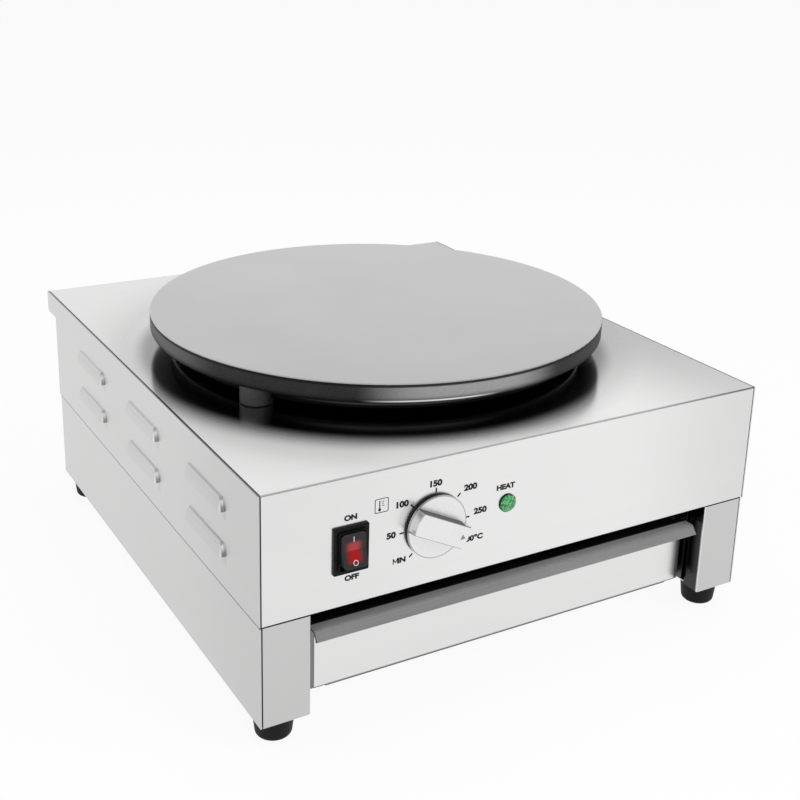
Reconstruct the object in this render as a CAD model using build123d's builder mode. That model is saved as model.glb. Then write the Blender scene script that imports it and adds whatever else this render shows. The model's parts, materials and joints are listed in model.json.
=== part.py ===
"""Countertop electric crepe maker: a cast griddle on three short legs over a folded sheet-steel housing.

Frame: +X to the user's right, +Y to the back, +Z up, origin under the middle of the whole machine on the
surface that it stands on. All sizes are in millimetres.
"""

import os
from math import atan2, degrees, radians, tan

from build123d import *

# ------------------------------------------------------------------ driving dimensions
# Sheet-metal housing
body_width = 450.0
body_depth = 483.0
upper_height = 101.0
base_height = 82.0
base_inset = 1.0  # how far the base stands back from the upper box, all round
rear_overhang = 25.0
overhang_drop = 20.0
sheet = 1.0
bend_radius = 1.6  # outside radius of every fold
seam_gap = 0.7  # open joint between neighbouring sheets
flange = 14.0
pillar_width = 40.5
pillar_return = 17.0
vent_length = 46.0
vent_width = 5.0
vent_pitch_x = 60.0
vent_pitch_z = 26.0
frame_gap = 0.2  # under the corner angles
sill_setback = 11.5  # bottom sheet's front edge behind the pillar returns
sill_height = 5.0
upstand = 10.0

# Side louvres
louvre_length = 70.0
louvre_height = 11.5
louvre_rise = 4.0
louvre_pitch_y = 137.0
louvre_pitch_z = 36.0
louvre_columns = 3
louvre_rows = 2
louvre_first_y = 96.0  # behind the front
louvre_first_z = 26.2  # lower edge above the seam between base and upper box

# Rubber feet
foot_height = 20.5
foot_top_radius = 16.0
foot_bottom_radius = 13.5
foot_from_side = 19.0
foot_from_end = 20.0
foot_bolt_radius = 3.0
foot_head_radius = 5.5
foot_head_height = 4.0
foot_recess_depth = 9.0
foot_recess_gap = 1.5  # round the bolt's head
foot_edge = 4.0
foot_bolt_out = 7.0
foot_nut_radius = 5.0
foot_nut_height = 5.0

# Griddle plate, its legs and what heats it
plate_radius = 200.0
plate_thickness = 16.5
plate_lift = 17.0  # from the top panel to the underside of the rim
plate_from_front = 245.0
plate_rim_width = 17.0
plate_recess = 4.5
plate_edge = 1.0
plate_under_edge = 3.0
leg_radius = 13.5
leg_circle = 182.0
leg_count = 3
leg_angle = 90.0
stud_radius = 4.0
stud_in_plate = 10.0
stud_below_panel = 12.0
stud_end_gap = 0.5
leg_edge = 1.5
washer_thickness = 1.6
nut_thickness = 6.5
nut_over_stud = 2.5  # half across flats beyond the stud's radius
element_radius = 4.0
outer_ring_radius = 148.0
inner_ring_radius = 92.0
outer_tail_x = 8.0
outer_tail_start = 28.0
inner_tail_x = 22.0
inner_tail_start = 20.0
element_bend = 12.0
element_drop = 40.0
clamp_length = 330.0
clamp_width = 24.0
clamp_thickness = 2.5
clamp_stud_out = 2.0
saddle_inset = 2.0
bulb_radius = 2.5
bulb_length = 70.0
bulb_x = -120.0
capillary_radius = 1.0
capillary_lead = 12.0
capillary_step_x = 10.0
capillary_step_y = 25.0
capillary_under = 1.5  # below the rings
capillary_x = -24.0
capillary_behind = 16.0  # where it goes down, behind the middle of the plate
capillary_slack = 40.0
capillary_bend = 6.0
pan_lift = 5.3  # under the heat shield pan
pan_radius = 182.0
pan_sheet = 1.0
pan_hole_radius = 36.0
pad_thickness = 4.0
bush_wall = 6.0
bush_neck = 5.0
notch_gap = 1.5  # pan round the legs
pad_gap = 1.0

# Control panel
switch_x = -154.7
switch_above_seam = 45.2
bezel_width = 28.0
bezel_height = 36.6
bezel_proud = 2.2
bezel_corner = 1.0
bezel_edge = 0.5
frame_proud = 4.0
frame_wall = 1.0
frame_radius = 1.5
window_gap = 0.6
switch_body_width = 24.6
switch_body_depth = 30.0
rocker_width = 19.4
rocker_reach = 12.8  # from the pivot to the end of either wing
rocker_tip_out = 9.4
rocker_corner = 3.0
rocker_throw = 22.0
rocker_pin_radius = 1.5
rocker_sink = 1.5  # pivot behind the panel's face
rocker_well = 9.0
rocker_back = 5.0
rocker_back_half = 4.0
rocker_shoulder = 1.5
rocker_draft = 1.3
lens_margin = 1.8  # black rocker on each side of the lens
lens_depth = 0.8
pin_end_wall = 1.0
blade_length = 9.0
blade_width = 6.3
blade_thickness = 0.8
blade_pitch_x = 12.0
blade_pitch_z = 14.0
dial_x = -85.0
dial_above_seam = 47.0
knob_gap = 0.8
knob_radius = 24.7
knob_disc = 3.0
knob_grip = 8.8
knob_grip_width = 19.0
knob_draft = 5.0
knob_pointer_angle = -27.0  # from +X, seen from the front
knob_recess = 1.9
knob_edge = 1.0
knob_rim = 2.0
knob_boss = 3.0
spindle_radius = 3.0
spindle_in_knob = 8.5
spindle_in_body = 16.0
thermostat_width = 44.0
thermostat_height = 38.0
thermostat_depth = 26.0
thermostat_screw_spacing = 28.0
thermostat_corner = 3.0
spindle_end_gap = 0.5
collar_wall = 1.5
spindle_hole_gap = 2.0
screw_radius = 2.0
screw_head_radius = 3.6
screw_head = 1.6
bracket_sheet = 1.5
bracket_end = 7.0
bracket_height = 24.0
bracket_corner = 2.0
lamp_x = -21.4
lamp_above_seam = 50.6
lamp_radius = 7.3
lamp_rise = 4.5
lamp_stem_radius = 5.0
lamp_stem = 26.0
lamp_collar = 1.0
lamp_step = 0.3
lamp_edge = 2.0
lamp_nut_radius = 7.0
lamp_nut_height = 4.0

# Drawer
drawer_setback = 19.0  # face behind the front plane
drawer_bottom = 5.6  # under the face, above the base's lower edge
drawer_rim_height = 62.5
drawer_rear_gap = 13.0
drawer_travel = 300.0
drawer_rim = 6.0  # the pan's rims at either side, which slide on the runners
rear_rim = 5.0
lip_side_gap = 5.5  # between the lip's ends and the pillars
lip_tip_setback = 3.0
lip_tip_drop = 6.5
lip_top_setback = 8.0
lip_top_end = 24.0
hem_width = 13.0
hem_inset = 10.0
stop_x = 60.0
stop_width = 20.0
stop_hook = 4.0
stop_ear = 8.0
stop_play = 0.5
bumper_above = 35.0
bumper_radius = 8.0
runner_gap = 3.5
runner_ledge = 6.5
runner_play = 0.3
runner_front_gap = 1.0
runner_rear_gap = 2.0
keeper_gap = 1.0

# Rear connections
gland_x = 150.0
gland_above_seam = 42.0
gland_radius = 10.0
gland_bore = 5.0
gland_hex = 24.0
gland_proud = 20.0
gland_flange = 6.0
gland_thread = 9.0
gland_dome_step = 0.5
gland_dome_edge = 1.5
locknut_height = 5.0
terminal_from_rear = 60.0
terminal_length = 54.0
terminal_width = 24.0
terminal_height = 18.0
terminal_corner = 2.0
terminal_pitch_x = 16.0
terminal_pitch_y = 12.0
terminal_hole_radius = 3.0
terminal_hole_depth = 8.0
earth_offset = 50.0
earth_stud_radius = 3.0
earth_stud_height = 16.0
earth_nut_radius = 5.0
earth_nut_height = 4.0
reset_x = 70.0
reset_above_seam = 42.0
reset_radius = 3.0
reset_travel = 1.5
reset_proud = 4.0
reset_edge = 0.8
reset_bore = 12.0
reset_end_gap = 0.5
bushing_wall = 2.0
bushing_proud = 5.0
cutout_length = 34.0
cutout_height = 24.0
cutout_depth = 28.0
cutout_corner = 2.0
cutout_nut_rim = 2.5
cutout_nut_height = 3.0

# Fits
running_fit = 0.05  # all round a turning or sliding round piece
loose_fit = 0.25  # all round a bolt, boss or body in its hole

# ------------------------------------------------------------------ places worked out from them
knob_reach = knob_gap + knob_disc + knob_grip
front = knob_reach - (knob_reach + body_depth + rear_overhang) / 2
rear = front + body_depth
tail = rear + rear_overhang
side = body_width / 2
base_bottom = foot_height
base_top = base_bottom + base_height
roof = base_top + upper_height
base_front = front + base_inset
base_rear = rear - base_inset
base_side = side - base_inset
pillar_inner = side - pillar_width
lip_half_width = pillar_inner - lip_side_gap
drawer_half_width = lip_half_width - drawer_rim
hem_half_width = drawer_half_width - hem_inset
sill_y = base_front + pillar_return + sill_setback
floor_under = base_top + sheet
floor_top = floor_under + sheet
plate_y = front + plate_from_front
rim_under = roof + plate_lift
plate_top = rim_under + plate_thickness
recess_under = rim_under + plate_recess
recess_radius = plate_radius - plate_rim_width
element_z = recess_under - element_radius
clamp_top = element_z - element_radius
pan_under = roof + pan_lift
switch_z = base_top + switch_above_seam
dial_z = base_top + dial_above_seam
lamp_z = base_top + lamp_above_seam
gland_z = base_top + gland_above_seam
reset_z = base_top + reset_above_seam
face_y = front + drawer_setback
rim_z = base_bottom + drawer_rim_height
drawer_rear = base_rear - sheet - drawer_rear_gap
runner_start = base_front + pillar_return + runner_front_gap
runner_end = rear - sheet - flange - runner_rear_gap
FRONT = Plane.XZ.offset(-front)  # the face of the control panel, looking forwards
REAR = Plane.XZ.offset(-rear)
finished = []


def folded_section(points, inward):
    """Section of a folded sheet whose outer face follows the points, with a rounded bend at each corner."""
    with BuildLine() as outline:
        FilletPolyline(*points, radius=bend_radius)
        offset(amount=sheet, side=inward)
    make_face(outline.line.edges())


def keep(builder, label):
    """Label a finished piece and put it on the list that is written at the end."""
    builder.part.label = label
    finished.append(builder)


def mirrored(original, label):
    """The opposite hand of a piece, across the machine's middle plane."""
    with BuildPart() as other:
        mirror(original.part, about=Plane.YZ)
    keep(other, label)


def leg_places(radius=leg_circle):
    """Places of the three legs round the middle of the plate."""
    return PolarLocations(radius, leg_count, start_angle=leg_angle)


# ------------------------------------------------------------------ upper housing
# The top, the control panel and the two short returns are one folded sheet.
with BuildPart() as top_cover:
    with BuildSketch(Plane.YZ):
        folded_section(
            [
                (front + flange, base_top),
                (front, base_top),
                (front, roof),
                (tail, roof),
                (tail, roof - overhang_drop),
            ],
            Side.RIGHT,
        )
    extrude(amount=side - sheet - seam_gap, both=True)
    with BuildSketch(Plane.XY.offset(roof)):
        with Locations((0, plate_y)):
            Circle(pan_hole_radius + bush_wall + loose_fit)
            with leg_places():
                Circle(stud_radius + loose_fit)
    extrude(amount=-sheet, mode=Mode.SUBTRACT)
    with BuildSketch(FRONT):
        with Locations((switch_x, switch_z)):
            Rectangle(
                switch_body_width + 2 * loose_fit,
                2 * (rocker_reach + 2 * frame_wall) + 2 * loose_fit,
            )
        with Locations((dial_x, dial_z)):
            Circle(spindle_radius + spindle_hole_gap)
            with GridLocations(thermostat_screw_spacing, 0, 2, 1):
                Circle(screw_radius + loose_fit)
        with Locations((lamp_x, lamp_z)):
            Circle(lamp_stem_radius + loose_fit)
    extrude(amount=-sheet, mode=Mode.SUBTRACT)
keep(top_cover, "top_cover")

# One pressed louvre at the origin: a quarter-round hood with its lower edge open, and its hollow.
louvre_half = louvre_length / 2 - louvre_rise


def louvre(rise, height, root):
    """Hood standing out towards -X, rooted beyond the plane X = 0, with each end closed by a quarter turn."""
    with BuildPart() as shape:
        for end in (-1, 1):
            with BuildSketch(Plane.XZ.offset(-end * louvre_half)) as section:
                with BuildLine():
                    EllipticalCenterArc((root, 0), rise + root, height, start_angle=90, arc_size=90)
                    Polyline((-rise, 0), (root, 0), (root, height))
                make_face()
            extrude(amount=end * louvre_half)
            revolve(section.sketch, axis=Axis((root, end * louvre_half, 0), (0, 0, -end)), revolution_arc=90)
    return shape.part


hood = louvre(louvre_rise, louvre_height, sheet / 2)
hood_hollow = louvre(louvre_rise - sheet, louvre_height - sheet, 1.5 * sheet)
louvre_places = [
    (-side, front + louvre_first_y + column * louvre_pitch_y, base_top + louvre_first_z + row * louvre_pitch_z)
    for column in range(louvre_columns)
    for row in range(louvre_rows)
]

# Each side is a sheet with a bottom flange, notched at both ends, and a tab under the rear overhang.
with BuildPart() as left_side_panel:
    with BuildSketch(FRONT):
        folded_section([(-side, roof), (-side, base_top), (-side + flange, base_top)], Side.LEFT)
    extrude(amount=-body_depth)
    with BuildSketch(Plane.XY.offset(base_top)):
        for y in (front + (flange + sheet) / 2, rear - (flange + 2 * sheet) / 2):
            with Locations((-side + sheet + flange / 2, y)):
                Rectangle(flange, flange + 2 * sheet)
    extrude(amount=bend_radius, mode=Mode.SUBTRACT)
    with BuildSketch(Plane.YZ.offset(-side)):
        with Locations(((rear + tail) / 2, roof - overhang_drop / 2)):
            Rectangle(rear_overhang, overhang_drop)
    extrude(amount=sheet)
    with Locations(*louvre_places):
        add(hood)
        add(hood_hollow, mode=Mode.SUBTRACT)
keep(left_side_panel, "left_side_panel")
mirrored(left_side_panel, "right_side_panel")

# An angle inside each side carries the edges of the folded cover along the top and down the front.
frame_foot = floor_top + frame_gap
frame_corner = (front + sheet, roof - sheet)
with BuildPart() as left_corner_frame:
    with BuildSketch(Plane.YZ.offset(-side + sheet)):
        folded_section([(frame_corner[0], frame_foot), frame_corner, (rear - sheet, frame_corner[1])], Side.RIGHT)
    extrude(amount=flange)
    with BuildSketch(Plane.YZ.offset(-side + sheet)):
        with BuildLine():
            FilletPolyline(
                (frame_corner[0], frame_foot),
                frame_corner,
                (rear - sheet, frame_corner[1]),
                radius=bend_radius,
            )
            Polyline(
                (rear - sheet, frame_corner[1]),
                (rear - sheet, frame_corner[1] - flange),
                (frame_corner[0] + flange, frame_corner[1] - flange),
                (frame_corner[0] + flange, frame_foot),
                (frame_corner[0], frame_foot),
            )
        make_face()
    extrude(amount=sheet)
keep(left_corner_frame, "left_corner_frame")
mirrored(left_corner_frame, "right_corner_frame")

# Upper back panel: folded at the foot and at both ends, with two rows of vent slots.
with BuildPart() as rear_panel:
    with BuildSketch(Plane.YZ):
        folded_section(
            [(rear, roof - sheet), (rear, base_top), (rear - flange, base_top)],
            Side.RIGHT,
        )
    extrude(amount=side - sheet, both=True)
    ear_height = roof - 2 * sheet - flange - floor_top
    for x in (-side + 1.5 * sheet, side - 1.5 * sheet):
        with Locations((x, rear - sheet - flange / 2, floor_top + ear_height / 2)):
            Box(sheet, flange, ear_height - sheet)
    with BuildSketch(REAR):
        with Locations((gland_x, gland_z)):
            Circle(gland_radius + loose_fit)
        with Locations((reset_x, reset_z)):
            Circle(reset_radius + bushing_wall + loose_fit)
        with Locations((-side / 3, base_top + upper_height / 2)):
            with GridLocations(vent_pitch_x, vent_pitch_z, 3, 2):
                SlotOverall(vent_length, vent_width)
    extrude(amount=sheet, mode=Mode.SUBTRACT)
keep(rear_panel, "rear_panel")

# The floor of the electrical compartment is the roof of the drawer bay.
floor_front = front + bend_radius
floor_rear = rear - bend_radius
with BuildPart() as compartment_floor:
    with BuildSketch(Plane.XY.offset(floor_under)):
        with Locations((0, (floor_front + floor_rear) / 2)):
            Rectangle(2 * (side - bend_radius), floor_rear - floor_front)
    extrude(amount=sheet)
keep(compartment_floor, "compartment_floor")

# ------------------------------------------------------------------ base
with BuildPart() as left_base_panel:
    with BuildSketch(Plane.XZ.offset(-base_front)):
        folded_section(
            [(-base_side + flange, base_top), (-base_side, base_top), (-base_side, base_bottom)],
            Side.LEFT,
        )
    extrude(amount=base_front - base_rear)
    with BuildSketch(Plane.XY.offset(base_top)):
        for y, length in ((base_front, 2 * bend_radius), (base_rear, 2 * (flange + 2 * sheet))):
            with Locations((-base_side + sheet + flange / 2, y)):
                Rectangle(flange, length)
    extrude(amount=-bend_radius, mode=Mode.SUBTRACT)
keep(left_base_panel, "left_base_panel")
mirrored(left_base_panel, "right_base_panel")

with BuildPart() as left_pillar:
    with BuildSketch(Plane.XY.offset(base_bottom)):
        folded_section(
            [
                (-base_side + sheet + seam_gap, base_front),
                (-pillar_inner, base_front),
                (-pillar_inner, base_front + pillar_return),
            ],
            Side.LEFT,
        )
    extrude(amount=base_height - sheet)
keep(left_pillar, "left_pillar")
mirrored(left_pillar, "right_pillar")

with BuildPart() as base_rear_panel:
    with BuildSketch(Plane.YZ):
        folded_section(
            [(base_rear - flange, base_top), (base_rear, base_top), (base_rear, base_bottom)],
            Side.RIGHT,
        )
    extrude(amount=base_side - sheet, both=True)
keep(base_rear_panel, "base_rear_panel")

# Bottom sheet: its front ears close the pillars and carry the front feet, its sill stiffens the edge.
ear_inner = pillar_inner + sheet
foot_x = base_side - foot_from_side
with BuildPart() as bottom_panel:
    with BuildSketch(Plane.XY.offset(base_bottom)):
        with BuildLine():
            half = Polyline(
                (0, sill_y),
                (ear_inner, sill_y),
                (ear_inner + bend_radius, sill_y),
                (ear_inner + bend_radius, base_front + sheet),
                (base_side - sheet, base_front + sheet),
                (base_side - sheet, base_rear - sheet),
                (0, base_rear - sheet),
            )
            mirror(half, about=Plane.YZ)
        make_face()
        with Locations((0, (base_front + base_rear) / 2)):
            with GridLocations(2 * foot_x, base_rear - base_front - 2 * foot_from_end, 2, 2):
                Circle(foot_bolt_radius + loose_fit, mode=Mode.SUBTRACT)
    extrude(amount=sheet)
    with BuildSketch(Plane.XY.offset(base_bottom)):
        with Locations((0, sill_y + sheet / 2)):
            Rectangle(2 * ear_inner, sheet)
    extrude(amount=sill_height)
    side_length = base_rear - sill_y - 2 * sheet
    with BuildSketch(Plane.XY.offset(base_bottom)):
        for x in (-base_side + 1.5 * sheet, base_side - 1.5 * sheet):
            with Locations((x, sill_y + sheet + side_length / 2)):
                Rectangle(sheet, side_length)
    extrude(amount=upstand)
keep(bottom_panel, "bottom_panel")

# Feet: rubber, tapered, each held by a bolt from below with its nut on the bottom sheet.
foot_profile = [
    (foot_head_radius + foot_recess_gap, 0),
    (foot_bottom_radius, 0),
    (foot_top_radius, foot_height),
    (foot_bolt_radius + loose_fit, foot_height),
    (foot_bolt_radius + loose_fit, foot_recess_depth),
    (foot_head_radius + foot_recess_gap, foot_recess_depth),
]
foot_places = [
    (x, y, 0)
    for x in (-foot_x, foot_x)
    for y in (base_front + foot_from_end, base_rear - foot_from_end)
]
with BuildPart() as one_foot:
    with BuildSketch(Plane.XZ):
        with BuildLine():
            Polyline(*foot_profile, close=True)
        make_face()
    revolve(axis=Axis.Z)
    fillet(one_foot.edges().filter_by(GeomType.CIRCLE).group_by(Axis.Z)[0].sort_by(SortBy.RADIUS)[-1], foot_edge)
with BuildPart() as rubber_feet:
    with Locations(*foot_places):
        add(one_foot.part)
keep(rubber_feet, "rubber_feet")

bolt_top = base_bottom + sheet + foot_bolt_out
with BuildPart() as foot_bolts:
    with BuildSketch(Plane.XY.offset(foot_recess_depth)):
        with Locations(*[(x, y) for x, y, _ in foot_places]):
            Circle(foot_head_radius)
    extrude(amount=-foot_head_height)
    with BuildSketch(Plane.XY.offset(foot_recess_depth)):
        with Locations(*[(x, y) for x, y, _ in foot_places]):
            Circle(foot_bolt_radius)
    extrude(amount=bolt_top - foot_recess_depth)
keep(foot_bolts, "foot_bolts")

with BuildPart() as foot_nuts:
    with BuildSketch(Plane.XY.offset(base_bottom + sheet)):
        with Locations(*[(x, y) for x, y, _ in foot_places]):
            RegularPolygon(foot_nut_radius, 6, major_radius=False)
            Circle(foot_bolt_radius + running_fit, mode=Mode.SUBTRACT)
    extrude(amount=foot_nut_height)
keep(foot_nuts, "foot_nuts")

# ------------------------------------------------------------------ drawer and what carries it
# Each runner is a wall of the drawer bay with a ledge under the drawer's rim and a keeper over it.
runner_web = lip_half_width + runner_gap
ledge_top = rim_z - sheet - runner_play
keeper_under = rim_z + keeper_gap
with BuildPart() as left_runner:
    with BuildSketch(Plane.XZ.offset(-runner_start)):
        folded_section(
            [
                (-runner_web + sheet + runner_ledge, ledge_top - sheet),
                (-runner_web, ledge_top - sheet),
                (-runner_web, floor_under - bend_radius),
            ],
            Side.RIGHT,
        )
        with Locations((-runner_web - flange / 2 + sheet, floor_under - sheet / 2)):
            Rectangle(flange, sheet)
        with Locations((-runner_web + sheet / 2, floor_under - bend_radius)):
            Rectangle(sheet, 2 * bend_radius)
        with Locations((-runner_web + sheet + runner_ledge / 2, keeper_under + sheet / 2)):
            Rectangle(runner_ledge, sheet)
        with Locations((-runner_web + sheet / 2, (base_bottom + sill_height + ledge_top) / 2)):
            Rectangle(sheet, ledge_top - base_bottom - sill_height)
    extrude(amount=runner_start - runner_end)
    with BuildSketch(Plane.XY.offset(floor_under)):
        with Locations((-runner_web, (runner_start + runner_end) / 2)):
            Rectangle(2 * flange, runner_end - runner_start)
    extrude(amount=2 * bend_radius, mode=Mode.SUBTRACT)
keep(left_runner, "left_runner")
mirrored(left_runner, "right_runner")

pan_z = base_bottom + drawer_bottom + sheet
pan_front = face_y + sheet
stop_ear_top = rim_z + stop_ear
with BuildPart() as drawer_pan:
    with BuildSketch(Plane.XY.offset(pan_z)):
        with Locations((0, (pan_front + drawer_rear) / 2)):
            RectangleRounded(2 * drawer_half_width, drawer_rear - pan_front, 2 * bend_radius)
    extrude(amount=rim_z - sheet - pan_z)
    fillet(drawer_pan.edges().group_by(Axis.Z)[0], bend_radius)
    offset(amount=-sheet, openings=drawer_pan.faces().sort_by(Axis.Z)[-1])
    rim_start = front + lip_top_end + sheet
    rim_end = drawer_rear + rear_rim
    with BuildSketch(Plane.XY.offset(rim_z - sheet)):
        with Locations((0, (rim_start + rim_end) / 2)):
            Rectangle(2 * lip_half_width, rim_end - rim_start)
            Rectangle(2 * (drawer_half_width - sheet), rim_end - rim_start + 4 * rear_rim, mode=Mode.SUBTRACT)
        with Locations((0, (drawer_rear - sheet + rim_end) / 2)):
            Rectangle(2 * lip_half_width, rim_end - drawer_rear + sheet)
    extrude(amount=sheet)
    with BuildSketch(Plane.XY.offset(rim_z)):
        with Locations((-stop_x, drawer_rear), (stop_x, drawer_rear)):
            Rectangle(stop_width, sheet)
    extrude(amount=stop_ear_top - rim_z)
keep(drawer_pan, "drawer_pan")

# Two hooks under the compartment floor catch the ears on the pan's back rim at full travel.
hook_y = drawer_rear - sheet / 2 - drawer_travel - stop_play
with BuildPart() as drawer_stops:
    with BuildSketch(Plane.YZ.offset(-stop_width / 2)):
        folded_section(
            [(hook_y - flange, floor_under), (hook_y, floor_under), (hook_y, stop_ear_top - stop_hook)],
            Side.RIGHT,
        )
    extrude(amount=stop_width)
with BuildPart() as drawer_stop_pair:
    with Locations((-stop_x, 0, 0), (stop_x, 0, 0)):
        add(drawer_stops.part)
keep(drawer_stop_pair, "drawer_stops")

with BuildPart() as drawer_bumpers:
    with BuildSketch(Plane.XZ.offset(-(base_rear - sheet))):
        with Locations((-stop_x, base_bottom + bumper_above), (stop_x, base_bottom + bumper_above)):
            Circle(bumper_radius)
    extrude(amount=drawer_rear_gap - runner_play)
keep(drawer_bumpers, "drawer_bumpers")

# Drawer front: a flat face with a hem turned back under the pan.
face_top = rim_z - sheet
face_bottom = base_bottom + drawer_bottom
with BuildPart() as drawer_front:
    with BuildSketch(Plane.YZ):
        folded_section(
            [(face_y, face_top), (face_y, face_bottom), (face_y + hem_width, face_bottom)],
            Side.LEFT,
        )
    extrude(amount=hem_half_width, both=True)
    with BuildSketch(Plane.XZ.offset(-face_y)):
        for x in (-(drawer_half_width + hem_half_width) / 2, (drawer_half_width + hem_half_width) / 2):
            with Locations((x, (face_bottom + bend_radius + face_top) / 2)):
                Rectangle(drawer_half_width - hem_half_width, face_top - face_bottom - bend_radius)
    extrude(amount=-sheet)
keep(drawer_front, "drawer_front")

# The lip that fingers hook under: flat on top, sloping to a hemmed tip.
lip_tip = (front + lip_tip_setback, rim_z - lip_tip_drop)
with BuildPart() as drawer_lip:
    with BuildSketch(Plane.YZ):
        folded_section(
            [(front + lip_top_end, rim_z), (front + lip_top_setback, rim_z), lip_tip],
            Side.LEFT,
        )
        with Locations((lip_tip[0] + 1.4 * sheet, lip_tip[1] + 0.4 * sheet)):
            Circle(0.9 * sheet)
    extrude(amount=lip_half_width, both=True)
keep(drawer_lip, "drawer_lip")

# ------------------------------------------------------------------ griddle plate and heating
with BuildPart() as griddle_plate:
    with BuildSketch(Plane.XY.offset(rim_under)):
        with Locations((0, plate_y)):
            Circle(plate_radius)
    extrude(amount=plate_thickness)
    outer_edges = griddle_plate.edges().filter_by(GeomType.CIRCLE).sort_by(Axis.Z)
    fillet(outer_edges[0], plate_under_edge)
    fillet(griddle_plate.edges().filter_by(GeomType.CIRCLE).sort_by(Axis.Z)[-1], plate_edge)
    with BuildSketch(Plane.XY.offset(rim_under)):
        with Locations((0, plate_y)):
            Circle(recess_radius)
            with leg_places():
                Circle(leg_radius, mode=Mode.SUBTRACT)
    extrude(amount=plate_recess, mode=Mode.SUBTRACT)
    with BuildSketch(Plane.XY.offset(rim_under)):
        with Locations((0, plate_y)):
            with leg_places():
                Circle(stud_radius + running_fit)
    extrude(amount=stud_in_plate, mode=Mode.SUBTRACT)
    with BuildSketch(Plane.XY.offset(recess_under)):
        with Locations((0, plate_y)):
            Circle(stud_radius + running_fit)
    extrude(amount=stud_in_plate - plate_recess, mode=Mode.SUBTRACT)
keep(griddle_plate, "griddle_plate")

with BuildPart() as plate_legs:
    with BuildSketch(Plane.XY.offset(roof)):
        with Locations((0, plate_y)):
            with leg_places():
                Circle(leg_radius)
                Circle(stud_radius + loose_fit, mode=Mode.SUBTRACT)
    extrude(amount=plate_lift)
    leg_feet = plate_legs.edges().filter_by(GeomType.CIRCLE).group_by(Axis.Z)[0]
    fillet(leg_feet.sort_by(SortBy.RADIUS)[-leg_count:], leg_edge)
keep(plate_legs, "plate_legs")

panel_under = roof - sheet
with BuildPart() as plate_studs:
    with BuildSketch(Plane.XY.offset(panel_under - stud_below_panel)):
        with Locations((0, plate_y)):
            with leg_places():
                Circle(stud_radius)
    extrude(amount=rim_under + stud_in_plate - stud_end_gap - panel_under + stud_below_panel)
keep(plate_studs, "plate_studs")

with BuildPart() as plate_nuts:
    with BuildSketch(Plane.XY.offset(panel_under)):
        with Locations((0, plate_y)):
            with leg_places():
                Circle(2 * stud_radius)
                Circle(stud_radius + running_fit, mode=Mode.SUBTRACT)
    extrude(amount=-washer_thickness)
    with BuildSketch(Plane.XY.offset(panel_under - washer_thickness)):
        with Locations((0, plate_y)):
            with leg_places():
                RegularPolygon(stud_radius + nut_over_stud, 6, major_radius=False)
                Circle(stud_radius + running_fit, mode=Mode.SUBTRACT)
    extrude(amount=-nut_thickness)
keep(plate_nuts, "plate_nuts")


def heating_element(radius, half, tail_start, label):
    """Tubular element: a ring open to the front, two straight tails to the hub and two legs down through it."""
    away = half + element_bend
    turn_x = ((radius - element_bend) ** 2 - away**2) ** 0.5
    turn = degrees(atan2(away, turn_x))
    with BuildPart() as element:
        with BuildLine(Plane(origin=(0, plate_y, element_z)).rotated((0, 0, -90))) as path:
            CenterArc((0, 0), radius, turn, 360 - 2 * turn)
            CenterArc((turn_x, away), element_bend, -90, 90 + turn)
            CenterArc((turn_x, -away), element_bend, -turn, 90 + turn)
            for y in (-half, half):
                FilletPolyline(
                    (turn_x, y, 0),
                    (tail_start, y, 0),
                    (tail_start, y, -element_drop),
                    radius=element_bend,
                )
        whole = path.wire()
        with BuildSketch(Plane(origin=whole @ 0, z_dir=whole % 0)):
            Circle(element_radius)
        sweep(path=whole)
    keep(element, label)


heating_element(outer_ring_radius, outer_tail_x, outer_tail_start, "outer_heating_element")
heating_element(inner_ring_radius, inner_tail_x, inner_tail_start, "inner_heating_element")

with BuildPart() as element_clamp:
    with BuildSketch(Plane.XY.offset(clamp_top)):
        with Locations((0, plate_y)):
            SlotOverall(clamp_length, clamp_width)
            Circle(stud_radius + loose_fit, mode=Mode.SUBTRACT)
    extrude(amount=-clamp_thickness)
keep(element_clamp, "element_clamp")

# Sensor bulb of the thermostat: it lies against the plate between the rings, on a saddle that the clamp presses up.
bulb_z = recess_under - bulb_radius
with BuildPart() as thermostat_bulb:
    with BuildSketch(Plane.XZ.offset(-plate_y)):
        with Locations((bulb_x, bulb_z)):
            Circle(bulb_radius)
    extrude(amount=bulb_length / 2, both=True)
keep(thermostat_bulb, "thermostat_bulb")

with BuildPart() as bulb_saddle:
    with BuildSketch(Plane.XZ.offset(-plate_y)):
        with Locations((bulb_x, (clamp_top + bulb_z) / 2)):
            Rectangle(4 * bulb_radius, bulb_z - clamp_top)
        with Locations((bulb_x, bulb_z)):
            Circle(bulb_radius, mode=Mode.SUBTRACT)
    extrude(amount=clamp_width / 2 - saddle_inset, both=True)
keep(bulb_saddle, "bulb_saddle")

clamp_under = clamp_top - clamp_thickness
with BuildPart() as clamp_stud:
    with BuildSketch(Plane.XY.offset(clamp_under - nut_thickness - clamp_stud_out)):
        with Locations((0, plate_y)):
            Circle(stud_radius)
    extrude(amount=rim_under + stud_in_plate - stud_end_gap - clamp_under + nut_thickness + clamp_stud_out)
keep(clamp_stud, "clamp_stud")

with BuildPart() as clamp_nut:
    with BuildSketch(Plane.XY.offset(clamp_under)):
        with Locations((0, plate_y)):
            RegularPolygon(stud_radius + nut_over_stud, 6, major_radius=False)
            Circle(stud_radius + running_fit, mode=Mode.SUBTRACT)
    extrude(amount=-nut_thickness)
keep(clamp_nut, "clamp_nut")

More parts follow.
